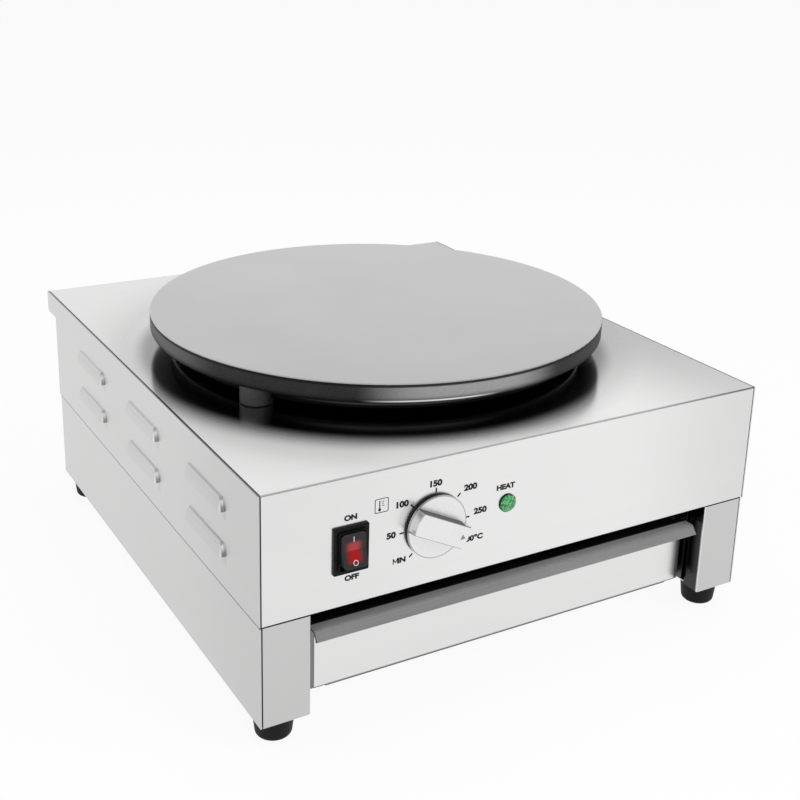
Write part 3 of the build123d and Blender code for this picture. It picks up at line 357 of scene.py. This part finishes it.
hood_points = [vertex.co for vertex in frame["nodes"]["left_side_panel"].data.vertices if vertex.co.x < hood_top]
front_ends = cluster_starts([point.y for point in hood_points], 0.040)
lower_edges = cluster_starts([point.z for point in hood_points], 0.015)


def side_joints_and_painted_light(finish):
    # The seam and the top edge are joints; the rest is painted shade and highlight, on the hoods and towards the
    # front.
    seam = finish.near("Z", base_top, 0.0017) * 0.72
    top_edge = finish.near("Z", cover_high.z, 0.0007) * finish.along("X").fade(0.0, -0.1) * 0.30
    proud = abs(finish.along("X")) - sheet_face
    hood = proud.fade(0.0002, 0.0012)
    top_fold = proud.band(0.0, 0.0002, 0.0004, 0.0012)
    foot = sum(finish.along("Z", z).band(-0.0060, -0.0045, 0.0020, 0.0088) for z in lower_edges)
    end = sum(finish.along("Y", y).band(-0.0080, -0.0060, -0.0010, 0.0004) for y in front_ends)
    # A painted shadow where each hood's end meets the sheet low down.
    painted_end_shadow = end * foot * proud.band(-0.0001, 0.0003, 0.0012, 0.0026)
    towards_front = finish.along("Y", cover_low.y).fade(0.18, 0.0) * 0.09
    painted_fold_highlights = (top_fold + end * hood * 0.6) * 0.30 * (1 - painted_end_shadow)
    return seam.most(top_edge) + towards_front + hood * 0.04 - painted_fold_highlights + painted_end_shadow * 0.60


side_steel = brushed_sheet("side_steel", 0.645, "y", rough=0.26, streaks=0.6, dark=side_joints_and_painted_light)
print("louvres start at y =", [round(y, 4) for y in front_ends], "and z =", [round(z, 4) for z in lower_edges])

# %% [markdown]
# The plate is cast iron, turned flat on a lathe. The tool leaves fine rings round the centre, seen as a soft sheen,
# while the rim keeps the dark skin of the casting. One finish does both: a mask on the height picks the turned face,
# and the distance from the middle of the plate drives the rings. On the rim a painted sheen and a painted highlight
# along its lower edge lie only on the sides that look the right way, and the underside is painted dark as shade.

# %% Cast plate, turned face and dark rim
plate_cast = Finish("plate_cast")
height = plate_cast.along("Z", plate_high.z)
under_height = plate_cast.along("Z", plate_low.z)
turned = height.fade(-0.0009, -0.0003)
lip_line = height.fade(-0.0036, -0.0024) * (1 - turned)
# The underside is painted dark as shade; the rim gets a painted sheen and a painted highlight along its lower edge.
underside = height.fade(-0.0100, -0.0150)
sheen = (plate_cast.towards(8, 26, plate_centre, plate_radius) * 0.34
         + plate_cast.towards(94, 27, plate_centre, plate_radius) * 0.10)
painted_edge_highlight = (under_height.band(0.0014, 0.0018, 0.0027, 0.0032)
             * plate_cast.towards(16, 17, plate_centre, plate_radius))
rings = plate_cast.rings(plate_cast.distance(plate_centre), 1400.0)
blotch = plate_cast.noise(9.0, detail=3.0)
grain = plate_cast.noise(1100.0, detail=3.0, roughness=0.6)
patch = plate_cast.noise(60.0)
face_shade = 0.74 + (rings - 0.5) * 0.05 + (blotch - 0.5) * 0.09
skin_shade = ((0.024 + sheen * (0.75 + grain * 0.5) + (grain - 0.5) * 0.06 + (patch - 0.5) * 0.02)
              * (1 - lip_line * 0.95) * (1 - underside * 0.80) + painted_edge_highlight * 0.9)
plate_cast.wear(
    Base_Color=plate_cast.blend(turned, plate_cast.grey(skin_shade), plate_cast.grey(face_shade)),
    Metallic=turned * 0.9 + 0.05, Specular_IOR_Level=0.25,
    Roughness=0.50 - turned * 0.16 + (rings - 0.5) * 0.06 + (grain - 0.5) * 0.10,
    Normal=plate_cast.relief(grain * (1 - turned) + rings * turned * 0.1, 0.00015))
print("plate: middle", tuple(round(v, 4) for v in plate_centre), "radius", round(plate_radius, 4))

# %% [markdown]
# The legs and the shield pan stand in the shade under the plate. The legs are black and a little rough. The pan is
# steel painted nearly black as the shade under the plate, with one painted highlight on its wall towards the front.

# %% Legs and shield pan
leg_finish = Finish("leg_black")
skin = leg_finish.noise(700.0)
leg_black = leg_finish.wear(Base_Color=leg_finish.grey(0.075 + (skin - 0.5) * 0.09), Metallic=0.3,
                            Roughness=0.42 + (skin - 0.5) * 0.2, Normal=leg_finish.relief(skin, 0.00003))

pan_low, pan_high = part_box("heat_shield_pan")
pan_finish = Finish("pan_steel")
pan_cloud = pan_finish.noise(40.0, detail=3.0)
# Painted light: the pan is nearly black as shade, with a painted highlight on the front of its wall.
pan_wall = pan_finish.along("Z", pan_low.z).band(0.0032, 0.0042, 0.0058, 0.0066)
pan_front = pan_finish.towards(22, 30, (pan_low + pan_high) / 2, (pan_high.x - pan_low.x) / 2)
pan_painted_light = pan_wall * pan_front * 0.08 + 0.010 + (pan_cloud - 0.5) * 0.01
pan_steel = pan_finish.wear(Base_Color=pan_finish.grey(pan_painted_light), Metallic=1.0,
                            Roughness=0.22 + (pan_cloud - 0.5) * 0.1)
print("under the plate:", leg_black.name, pan_steel.name)

# %% [markdown]
# Hidden and small metal pieces need honest metal too, since the drawer opens and the back is seen. Zinc plate is a
# pale, slightly yellow metal with a cloudy passivated skin; copper, brass and the dark oxide of a heater's sheath are
# the same recipe with another colour, so one function makes them all.

# %% Plain metals
def two_shades(colour, mottle):
    """A colour a little darker and a little lighter, for a mottle to move between."""
    return [tuple(min(1, c * (1 + change)) for c in colour) + (1,) for change in (-mottle, mottle)]


def plain_metal(name, colour, rough, mottle=0.12):
    cloud_scale = 60.0
    finish = Finish(name)
    cloud = finish.noise(cloud_scale, detail=3.0)
    return finish.wear(Base_Color=finish.blend(cloud, *two_shades(colour, mottle)), Metallic=1.0,
                       Roughness=rough + (cloud - 0.5) * 0.15,
                       Normal=finish.relief(finish.noise(cloud_scale * 12), 0.00001))


zinc = plain_metal("zinc_plate", (0.62, 0.63, 0.62), 0.38)
heater_sheath = plain_metal("heater_sheath", (0.16, 0.15, 0.145), 0.45, mottle=0.25)
copper = plain_metal("copper_tube", (0.85, 0.45, 0.30), 0.30)
brass = plain_metal("brass", (0.80, 0.62, 0.30), 0.32)
plain_steel = plain_metal("plain_steel", (0.52, 0.52, 0.52), 0.36, mottle=0.08)
print("metals:", zinc.name, heater_sheath.name, copper.name, brass.name, plain_steel.name)

# %% [markdown]
# Plastics, rubber, ceramic and fibre are dull and nearly one colour, but none is perfectly even. Moulded plastic has
# a fine spark-eroded grain, rubber is duller and carries a little dust, and ceramic is smooth with a faint mottle.
# Each is the same small recipe: a base colour with a low mottle, and a grain that moves roughness and bump.

# %% Moulded and dull finishes
def moulded(name, colour, rough, shine=0.5, grain_scale=1500.0, grain_depth=0.00002, mottle=0.10):
    finish = Finish(name)
    grain = finish.noise(grain_scale)
    cloud = finish.noise(45.0, detail=3.0)
    return finish.wear(Base_Color=finish.blend(cloud * 0.6 + grain * 0.4, *two_shades(colour, mottle)),
                       Roughness=rough + (grain - 0.5) * 0.12 + (cloud - 0.5) * 0.06,
                       Normal=finish.relief(grain, grain_depth), Specular_IOR_Level=shine)


rubber = moulded("foot_rubber", (0.008, 0.008, 0.0085), 0.55, shine=0.15, grain_scale=1200.0, mottle=0.25)
switch_black = moulded("switch_black", (0.006, 0.006, 0.0065), 0.36, shine=0.12, mottle=0.2)
fibre = moulded("insulation_fibre", (0.72, 0.70, 0.64), 0.9, grain_scale=260.0, grain_depth=0.0004)
ceramic = moulded("white_ceramic", (0.82, 0.80, 0.76), 0.28)
reset_red = moulded("reset_red", (0.55, 0.02, 0.015), 0.35)
print("dull finishes:", rubber.name, switch_black.name, fibre.name, ceramic.name, reset_red.name)

# %% [markdown]
# The knob is black plastic with a bright metallised face, and the rim of the disc shows the black plastic. The long
# walls of the grip and thin lines along the edges of the face and the grip are painted dark, as shade and dark
# reflections, which is what makes the grip stand out. Three distances tell the places apart: from the axis for the
# rim, across and along the grip in the grip's own direction, and back from the knob's face.

# %% Silver knob
knob_low, knob_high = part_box("thermostat_knob")
knob_centre = (knob_low + knob_high) / 2
knob_radius = (knob_high.x - knob_low.x) / 2
pointer_angle = -27.0
grip_half = 0.0095  # half the width of the grip

knob_silver = Finish("knob_silver")
lean = math.radians(pointer_angle)
reach = knob_silver.distance(knob_centre, (1, 0, 1))
side_x, side_z = knob_silver.along("X", knob_centre.x), knob_silver.along("Z", knob_centre.z)
across_grip = abs(side_z * math.cos(lean) - side_x * math.sin(lean))
along_grip = side_x * math.cos(lean) + side_z * math.sin(lean)
depth = knob_silver.along("Y", knob_low.y)

disc_rim = reach.fade(knob_radius - 0.0007, knob_radius - 0.0003) * depth.fade(0.0099, 0.0103)
# Painted shade: dark lines along the face's and grip's edges and on the grip's long walls, for shade and reflections.
face_painted_line = reach.fade(knob_radius - 0.0010, knob_radius - 0.0006) * depth.band(0.0080, 0.0084, 0.0096, 0.0100)
grip_side = across_grip.band(grip_half - 0.0011, grip_half - 0.0008, grip_half + 0.0003, grip_half + 0.0006)
grip_wall_painted_shade = grip_side * depth.band(0.0006, 0.0010, 0.0083, 0.0087) * along_grip.fade(0.0182, 0.0172)
grip_outline = across_grip.band(0.0082, 0.0084, 0.0090, 0.0093).most(along_grip.fade(0.0230, 0.0233))
grip_painted_line = grip_outline * depth.fade(0.0012, 0.0009)

turning = knob_silver.rings(reach, 2600.0)
speck = knob_silver.noise(1800.0)
knob_bright = ((0.82 + (speck - 0.5) * 0.06 + (turning - 0.5) * 0.02)
               * (1 - disc_rim * 0.985) * (1 - grip_wall_painted_shade * 0.93) * (1 - face_painted_line * 0.45) * (1 - grip_painted_line * 0.65))
knob_silver.wear(Base_Color=knob_silver.grey(knob_bright), Metallic=0.85 - disc_rim.most(grip_wall_painted_shade) * 0.85,
                 Roughness=0.28 + (turning - 0.5) * 0.04, Normal=knob_silver.relief(turning, 0.000005),
                 Specular_IOR_Level=0.05)
print("knob: middle", tuple(round(v, 4) for v in knob_centre), "radius", round(knob_radius, 4))

# %% [markdown]
# The rocker is smoked plastic with a red window, lit from behind by a small lamp: bright red in the middle, fading to
# black at the rim. A mask that is 1 in the middle and falls off towards the edges gives that, and it runs on over the
# window and the black rocker round it, so no hard edge shows. The upper wing's red is painted milkier than the lower
# wing's, a painted reflection of the pale room that it faces, and the two reds meet where the wings do.

# %% Rocker
rocker_low, rocker_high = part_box("rocker_lens")
rocker_middle, rocker_half = (rocker_low + rocker_high) / 2, (rocker_high - rocker_low) / 2

rocker_finish = Finish("rocker_glow")
sideways = abs(rocker_finish.along("X", rocker_middle.x)).fade(rocker_half.x, rocker_half.x * 0.25)
rocker_up = rocker_finish.along("Z", rocker_middle.z)
upright = rocker_up.band(*(rocker_half.z * part for part in (-1.05, -0.70, 0.40, 0.78)))
upper_part = rocker_up.fade(-0.0008, 0.0002)
glow = sideways * upright * (1 - upper_part * 0.25)
ripple = rocker_finish.noise(500.0, detail=1.0)
deep_red = rocker_finish.blend(ripple, (0.23, 0.0005, 0.001, 1), (0.36, 0.001, 0.002, 1))
# A painted reflection: the upper wing's red is milkier.
rocker_red = rocker_finish.blend(upper_part, deep_red, (0.42, 0.045, 0.050, 1))
rocker_glow = rocker_finish.wear(
    Base_Color=rocker_finish.blend(glow, (0.022, 0.022, 0.023, 1), rocker_red),
    Emission_Color=rocker_finish.blend(glow, (0, 0, 0, 1), rocker_red), Emission_Strength=0.20,
    Roughness=0.26 + ripple * 0.06, Specular_IOR_Level=0.22)
print("rocker:", rocker_glow.name, "window", [round(v * 2000, 1) for v in rocker_half.xz], "mm")

# %% [markdown]
# The lamp's lens is green plastic that glows faintly. Its cells are a Voronoi pattern, bright in the middle of each
# cell and dark between them, and a clear coat gives it the small sharp highlight of polished plastic.

# %% Lamp lens
lamp_finish = Finish("lamp_green")
cells = lamp_finish.node("TexVoronoi", {}, {"Vector": lamp_finish.place(), "Scale": 620.0})
spark = cells.fade(0.15, 0.75)
lamp_shade = lamp_finish.blend(spark, (0.11, 0.52, 0.19, 1), (0.012, 0.16, 0.04, 1))
green_lens = lamp_finish.wear(Base_Color=lamp_shade, Emission_Color=lamp_shade, Emission_Strength=0.08,
                              Roughness=0.14 + spark * 0.10, Coat_Weight=0.5)
print("lamp:", green_lens.name)

# %% [markdown]
# Every solid now gets its finish. The list goes by finish, so that a piece that is missed shows up at once: the check
# at the end of the cell stops the script if any solid is left without one.

# %% Give each solid its finish
worn_by = {
    cover_steel: ["top_cover"],
    side_steel: ["left_side_panel", "right_side_panel", "left_base_panel", "right_base_panel"],
    pillar_steel: ["left_pillar", "right_pillar"],
    drawer_steel: ["drawer_front"],
    back_steel: ["rear_panel", "base_rear_panel", "bottom_panel"],
    lip_steel: ["drawer_lip"],
    inner_steel: ["drawer_pan", "compartment_floor", "drawer_stops", "thermostat_bracket"],
    painted_shade_bay: ["left_runner", "right_runner"],
    painted_shade_angle: ["left_corner_frame", "right_corner_frame"],
    plate_cast.material: ["griddle_plate"],
    pan_steel: ["heat_shield_pan"],
    leg_black: ["plate_legs"],
    zinc: ["foot_bolts", "foot_nuts", "plate_studs", "plate_nuts", "clamp_stud", "clamp_nut", "element_clamp",
           "cutout_nut", "lamp_nut", "thermostat_screws", "bulb_saddle"],
    heater_sheath: ["outer_heating_element", "inner_heating_element"],
    fibre: ["insulation_pad"],
    rubber: ["rubber_feet", "drawer_bumpers", "wiring_bush"],
    switch_black: ["lamp_body", "switch_housing", "thermostat_body", "gland_locknut", "gland_dome", "cable_gland"],
    knob_silver.material: ["thermostat_knob"],
    rocker_glow: ["rocker_frame", "rocker_lens"],
    green_lens: ["lamp_lens"],
    ceramic: ["terminal_block", "overheat_cutout"],
    copper: ["capillary", "thermostat_bulb"],
    brass: ["switch_terminals", "earth_stud"],
    plain_steel: ["thermostat_spindle", "rocker_pin"],
    reset_red: ["reset_button"],
}
for material, names in worn_by.items():
    for name in names:
        solid = frame["nodes"][name]
        solid.data.materials.clear()
        solid.data.materials.append(material)
bare = set(frame["nodes"]) - {name for names in worn_by.values() for name in names}
assert not bare, f"solids without a finish: {sorted(bare)}"
print("finished solids:", sum(len(names) for names in worn_by.values()))

# %% [markdown]
# The panel is printed with black ink: the switch's two words, the dial's numbers and marks, and the word over the
# lamp. Ink is a film a few hundredths of a millimetre thick, so each word is a text made into a mesh, given that
# little thickness, stood upright and laid on the panel. The capital height is measured and set, not guessed.

# %% Printing ink, and how a flat shape becomes a piece on the panel
panel_y = cover_low.y
ink_depth = 0.00004
ink_finish = Finish("panel_ink")
ink_grain = ink_finish.noise(2500.0)
ink = ink_finish.wear(Base_Color=ink_finish.grey(0.006 + ink_grain * 0.006), Specular_IOR_Level=0.2,
                      Roughness=0.5 + (ink_grain - 0.5) * 0.1)


def new_piece(name, shape, material, body="housing"):
    """Turn a bmesh or a mesh into a piece that rides on a body."""
    if isinstance(shape, bmesh.types.BMesh):
        mesh = bpy.data.meshes.new(name)
        shape.to_mesh(mesh)
        shape.free()
    else:
        mesh = shape
        mesh.name = name
    mesh.materials.clear()
    mesh.materials.append(material)
    piece = bpy.data.objects.new(name, mesh)
    bpy.context.scene.collection.objects.link(piece)
    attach(piece, body)
    return piece


def on_panel(x, z, proud=0.0, turn=0.0):
    """Takes a flat shape drawn in XY to the panel: its middle at x, z, turned by an angle, its back on the sheet."""
    return (Matrix.Translation((x, panel_y - proud, z)) @ Matrix.Rotation(math.radians(90), 4, "X")
            @ Matrix.Rotation(math.radians(turn), 4, "Z"))


def add_bar(shape, place, size):
    """Add a box of a size in metres, its middle at a place."""
    bmesh.ops.create_cube(shape, size=1, matrix=place @ Matrix.Diagonal((*size, 1)))


def word_mesh(text, capital_height):
    """A bold word as a thin closed mesh, centred, with capitals of a set height."""
    half_thickness = 0.01
    curve = bpy.data.curves.new("word", "FONT")
    curve.body, curve.align_x, curve.align_y = text, "CENTER", "BOTTOM_BASELINE"
    curve.size, curve.offset, curve.extrude, curve.resolution_u = 1.0, 0.06, half_thickness, 6
    holder = bpy.data.objects.new("word", curve)
    bpy.context.scene.collection.objects.link(holder)
    bpy.context.view_layer.update()
    mesh = bpy.data.meshes.new_from_object(holder.evaluated_get(bpy.context.evaluated_depsgraph_get()))
    bpy.data.objects.remove(holder)
    bpy.data.curves.remove(curve)
    xs = [vertex.co.x for vertex in mesh.vertices]
    ys = [vertex.co.y for vertex in mesh.vertices]
    scale = capital_height / (max(ys) - min(ys))
    mesh.transform(Matrix.Diagonal((scale, scale, ink_depth / (2 * half_thickness), 1))
                   @ Matrix.Translation((-(max(xs) + min(xs)) / 2, -(max(ys) + min(ys)) / 2, half_thickness)))
    return mesh


print("ink ready, panel face at y =", round(panel_y, 4))

# %% [markdown]
# Each word is listed with its name, its text, the x and z of its middle and the height of its capitals. The text's own
# M closes up when it is made bold, so the lowest setting is printed in two pieces: two letters of text, and in front
# of them an M put together from four bars.

# %% Words and numbers
small, large = 0.0046, 0.0053
min_word_z = 0.1280
words = [("word_on", "ON", -0.1548, 0.1719, small), ("word_off", "OFF", -0.1532, 0.1246, small),
         ("word_heat", "HEAT", -0.0235, 0.1671, small),
         ("dial_min", "IN", -0.1124, min_word_z, small), ("dial_50", "50", -0.1217, 0.1497, large),
         ("dial_100", "100", -0.1129, 0.1727, large), ("dial_150", "150", -0.0852, 0.1831, large),
         ("dial_200", "200", -0.0552, 0.1737, large), ("dial_250", "250", -0.0457, 0.1526, large),
         ("dial_300", "300\u00b0C", -0.0516, 0.1310, 0.0050)]
for name, text, x, z, capital_height in words:
    mesh = word_mesh(text, capital_height)
    mesh.transform(on_panel(x, z) @ Matrix.Diagonal((1.22 if "C" in text else 1.15, 1, 1, 1)))
    new_piece(name, mesh, ink)

half_wide, bar_width = 0.40, 0.17  # of an M one unit high
letter_m = bmesh.new()
for start, end in (((-half_wide, 0), (-half_wide, 1)), ((-half_wide, 0.95), (0, 0.25)),
                   ((0, 0.25), (half_wide, 0.95)), ((half_wide, 1), (half_wide, 0))):
    run = Vector(end) - Vector(start)
    middle = (Vector(end) + Vector(start)) / 2
    place = Matrix.Translation((*middle, 0)) @ Matrix.Rotation(math.atan2(run.y, run.x), 4, "Z")
    add_bar(letter_m, place, (run.length, bar_width, ink_depth))
bmesh.ops.transform(letter_m, verts=letter_m.verts, matrix=(
    on_panel(-0.1176, min_word_z - small / 2, proud=ink_depth / 2) @ Matrix.Diagonal((small, small, 1, 1))))
new_piece("dial_min_m", letter_m, ink)
print("words:", [name for name, *rest in words], "and the M")

# %% [markdown]
# The dial's marks are short bars on a ring round the knob. One bar is a small box, lengthened along the radius and
# turned to its place, seven times, in one mesh: they are printed in one go, so they are one piece.

# %% Dial marks
dial = (knob_centre.x, knob_centre.z)
mark_ring = 0.0281
mark_angles = range(-45, 226, 45)
marks = bmesh.new()
for angle in mark_angles:
    place = on_panel(*dial, proud=ink_depth / 2, turn=angle) @ Matrix.Translation((mark_ring, 0, 0))
    add_bar(marks, place, (0.0036, 0.0013, ink_depth))
new_piece("dial_marks", marks, ink)
print("dial marks:", len(mark_angles), "on a ring of", round(mark_ring * 1000, 1), "mm")

# %% [markdown]
# Beside the dial stands a small square symbol for heat control. It is a rounded outline with a thermometer inside: a
# ring is a square that is inset and loses its middle, and the thermometer is a bar with a round bulb and three ticks.

# %% Heat symbol
symbol_half, outline, bulb = 0.0056, 0.0006, 0.0012
symbol = bmesh.new()
bmesh.ops.create_grid(symbol, x_segments=1, y_segments=1, size=symbol_half)
bmesh.ops.bevel(symbol, geom=symbol.verts[:], affect="VERTICES", offset=0.0012, segments=4, profile=0.5, material=-1)
middle_face = symbol.faces[:]
bmesh.ops.inset_region(symbol, faces=middle_face, thickness=outline, use_even_offset=True, use_boundary=True)
bmesh.ops.delete(symbol, geom=middle_face, context="FACES_ONLY")
for x, y, wide, high in ((-0.0016, 0.0008, 0.0009, 0.0062), (0.0012, 0.0030, 0.0020, 0.0005),
                         (0.0010, 0.0014, 0.0014, 0.0005), (0.0012, -0.0002, 0.0020, 0.0005)):
    bmesh.ops.create_grid(symbol, x_segments=1, y_segments=1, size=0.5,
                          matrix=Matrix.Translation((x, y, 0)) @ Matrix.Diagonal((wide, high, 1, 1)))
bmesh.ops.create_circle(symbol, cap_ends=True, segments=20, radius=bulb,
                        matrix=Matrix.Translation((-0.0016, -0.0031, 0)))
bmesh.ops.solidify(symbol, geom=symbol.faces[:], thickness=-ink_depth)
bmesh.ops.recalc_face_normals(symbol, faces=symbol.faces)
bmesh.ops.transform(symbol, matrix=on_panel(-0.1301, 0.1755), verts=symbol.verts)
new_piece("heat_symbol", symbol, ink)
print("heat symbol:", round(symbol_half * 2000, 1), "mm square")

# %% [markdown]
# The rocker carries a line for on and a ring for off, in white. They lie on its two wings: with the rocker pressed in
# at the top the upper wing is level with the panel, and the lower wing leans out. Each mark is placed a hair above
# the wing, and rides on the rocker, so it tips with it.

# %% Rocker marks
white_finish = Finish("mark_white")
white_grain = white_finish.noise(2500.0)
mark_white = white_finish.wear(Base_Color=white_finish.grey(0.78 + (white_grain - 0.5) * 0.06), Roughness=0.5)
rocker_joint = next(joint for joint in frame["joints"] if joint["name"] == "rocker_tilt")
pivot = Vector(rocker_joint["pos_m"])
lens_points = [vertex.co for vertex in frame["nodes"]["rocker_lens"].data.vertices]
upper_face = min(point.y for point in lens_points if point.z > rocker_high.z - 0.002)
lower_tip = min(lens_points, key=lambda point: point.y)
lean_out = math.radians(rocker_joint["range_deg"][1])
film = 0.00006


def on_wing(up, leaning):
    """Takes a flat shape in XY to a wing: up is the distance along the wing from a known point on it."""
    if leaning:
        start, turn = Vector((pivot.x, lower_tip.y, lower_tip.z)), -lean_out
    else:
        start, turn = Vector((pivot.x, upper_face, rocker_high.z)), 0.0
    return (Matrix.Translation(start) @ Matrix.Rotation(turn, 4, "X") @ Matrix.Translation((0, 0, up))
            @ Matrix.Rotation(math.radians(90), 4, "X"))


on_mark = bmesh.new()
add_bar(on_mark, on_wing(-0.0016, False) @ Matrix.Translation((0, 0, film / 2)), (0.0006, 0.0040, film))
new_piece("rocker_on_mark", on_mark, mark_white, "power_rocker")

off_mark = bmesh.new()
bmesh.ops.create_circle(off_mark, cap_ends=False, segments=40, radius=0.0020)
inner = bmesh.ops.extrude_edge_only(off_mark, edges=off_mark.edges[:])
inner_points = [item for item in inner["geom"] if isinstance(item, bmesh.types.BMVert)]
bmesh.ops.scale(off_mark, vec=(0.78, 0.78, 1), verts=inner_points)
bmesh.ops.solidify(off_mark, geom=off_mark.faces[:], thickness=film)
bmesh.ops.recalc_face_normals(off_mark, faces=off_mark.faces)
lift = Matrix.Translation((0, 0, film - max(vertex.co.z for vertex in off_mark.verts)))
bmesh.ops.transform(off_mark, matrix=on_wing(0.0008, True) @ lift, verts=off_mark.verts)
new_piece("rocker_off_mark", off_mark, mark_white, "power_rocker")
print("rocker marks: upper wing at y =", round(upper_face, 4), "lower tip at", tuple(round(v, 4) for v in lower_tip))

# %% [markdown]
# The knob's pointer is a small dark triangle at the end of the grip. Three points make it: a circle with three
# segments is a triangle, flattened and turned so that it points outwards.

# %% Knob pointer
pointer_reach = 0.0186  # from the knob's axis to the middle of the triangle
pointer = bmesh.new()
bmesh.ops.create_circle(pointer, cap_ends=True, segments=3, radius=0.0026)
bmesh.ops.solidify(pointer, geom=pointer.faces[:], thickness=-film)
bmesh.ops.recalc_face_normals(pointer, faces=pointer.faces)
bmesh.ops.transform(pointer, verts=pointer.verts, matrix=(
    on_panel(*dial, proud=panel_y - knob_low.y, turn=pointer_angle) @ Matrix.Translation((pointer_reach, 0, 0))
    @ Matrix.Rotation(math.radians(-90), 4, "Z")))
pointer_grey = moulded("pointer_grey", (0.24, 0.24, 0.245), 0.5)
new_piece("knob_pointer", pointer, pointer_grey, "control_knob")
print("pointer on the knob's face at y =", round(knob_low.y, 4))

# %% [markdown]
# The drawer's face has a narrow folded strip down each side, which closes the gap beside the pillar. Its steel is
# dark, a painted shade for that gap. It is a thin bar with softened edges, made on one side and mirrored to the other,
# and it slides with the drawer.

# %% Side strips of the drawer's face
strip_low = Vector((front_high.x - 0.0002, front_low.y, front_low.z + 0.0018))
strip_high = Vector((front_high.x + 0.0031, front_low.y + 0.0010, front_high.z - 0.0025))
strip_size = strip_high - strip_low
strips = bmesh.new()
add_bar(strips, Matrix.Translation((strip_low + strip_high) / 2), strip_size)
bmesh.ops.bevel(strips, geom=strips.edges[:], affect="EDGES", offset=0.0002, segments=2, profile=0.5, material=-1)
bmesh.ops.mirror(strips, geom=strips.verts[:] + strips.edges[:] + strips.faces[:], axis="X", merge_dist=-1)
bmesh.ops.recalc_face_normals(strips, faces=strips.faces)
new_piece("drawer_side_strips", strips, painted_shade_strip, "drawer")
print("side strips:", [round(v * 1000, 1) for v in strip_size], "mm each")

# %% [markdown]
# The indicator's lens is a low dome moulded with many small facets that scatter the light. A flattened icosphere has
# just such facets. It is cut flat at the base, so it sits on the lamp's collar in place of the plain lens.

# %% Faceted lamp lens
lens_low, lens_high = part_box("lamp_lens")
lens_middle = (lens_low + lens_high) / 2
lens_radius, lens_rise = (lens_high.x - lens_low.x) / 2, lens_high.y - lens_low.y
cut_height = 0.05  # of a sphere with radius 1
dome = bmesh.new()
bmesh.ops.create_icosphere(dome, subdivisions=3, radius=1)
bmesh.ops.bisect_plane(dome, geom=dome.verts[:] + dome.edges[:] + dome.faces[:], plane_co=(0, 0, cut_height),
                       plane_no=(0, 0, -1), clear_outer=True)
bmesh.ops.holes_fill(dome, edges=[edge for edge in dome.edges if edge.is_boundary])
bmesh.ops.transform(dome, verts=dome.verts, matrix=(
    Matrix.Translation((lens_middle.x, lens_high.y, lens_middle.z)) @ Matrix.Rotation(math.radians(90), 4, "X")
    @ Matrix.Diagonal((lens_radius, lens_radius, lens_rise, 1)) @ Matrix.Translation((0, 0, -cut_height))))
bmesh.ops.recalc_face_normals(dome, faces=dome.faces)
lamp_dome = new_piece("lamp_dome", dome, green_lens)
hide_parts("lamp_lens")
print("lamp dome: radius", round(lens_radius * 1000, 2), "mm, rise", round(lens_rise * 1000, 2), "mm")

# %% [markdown]
# The studio starts with a wide pale floor. It is mostly its own white and partly lit, so it stays pale and still keeps
# the object's shadow. The Light Path node tells what a ray is for: what the camera sees and what shiny metal mirrors
# of the floor is nearly plain white, while the light that the floor throws on the object is only what falls on it.

# %% Floor
floor_half = 12
floor_mesh = bpy.data.meshes.new("floor")
sweep = bmesh.new()
bmesh.ops.create_grid(sweep, x_segments=2, y_segments=2, size=floor_half)
sweep.to_mesh(floor_mesh)
sweep.free()
floor = bpy.data.objects.new("floor", floor_mesh)
bpy.context.scene.collection.objects.link(floor)

floor_white = Finish("floor_white")
own_white = floor_white.node("Emission", {}, {"Color": (1, 1, 1, 1), "Strength": 1.0})
floor_white.wear(Base_Color=(0.86, 0.86, 0.86, 1), Roughness=0.9)
lit_part = Wire(floor_white, floor_white.shader.outputs[0])
own_share = floor_white.ray("Camera") * 0.91 + (floor_white.ray("Glossy") + floor_white.ray("Transmission")) * 0.80
both = floor_white.node("MixShader", {}, {0: own_share, 1: lit_part, 2: own_white})
floor_white.plug(floor_white.tree.nodes["Material Output"].inputs["Surface"], both)
floor_mesh.materials.append(floor_white.material)
print("floor:", 2 * floor_half, "m square")

# %% [markdown]
# What the camera sees of the surround is plain white too. What shiny metal mirrors is white low down and greyer
# towards the ceiling, as in a real studio, so flat steel gets a soft gradient, and only a weaker light falls on the
# object from all round. Three large soft lamps do the rest; they are hidden from the camera and from reflections.

# %% Surround and lamps
studio = Finish("studio", "worlds", "Background")
bpy.context.scene.world = studio.material
direct, glossy, clear = studio.ray("Camera"), studio.ray("Glossy"), studio.ray("Transmission")
upward = studio.node("SeparateXYZ", {}, {0: studio.node("TexCoord", output="Generated")}, output="Z")
mirror_level = 1.0 - upward.fade(0.22, 0.50) * 0.52
studio.wear(Color=(1, 1, 1, 1), Strength=direct + clear + glossy * mirror_level + (1 - direct - clear - glossy) * 0.45)


def soft_lamp(name, place, size, watts):
    """A square area lamp that looks at the object."""
    lamp = bpy.data.lights.new(name, "AREA")
    lamp.shape, lamp.size, lamp.energy = "SQUARE", size, watts
    holder = bpy.data.objects.new(name, lamp)
    bpy.context.scene.collection.objects.link(holder)
    aim = (Vector((0, 0, 0.1)) - Vector(place)).to_track_quat("-Z", "Y")
    holder.matrix_world = Matrix.Translation(place) @ aim.to_matrix().to_4x4()
    holder.visible_camera = False
    holder.visible_glossy = False
    return holder


lamps = [soft_lamp("key", (1.6, -2.2, 2.2), 1.8, 48), soft_lamp("overhead", (-0.2, 0.3, 2.6), 2.0, 26),
         soft_lamp("fill", (-2.6, -1.2, 1.4), 1.8, 16)]
print("lamps:", [lamp.name for lamp in lamps])
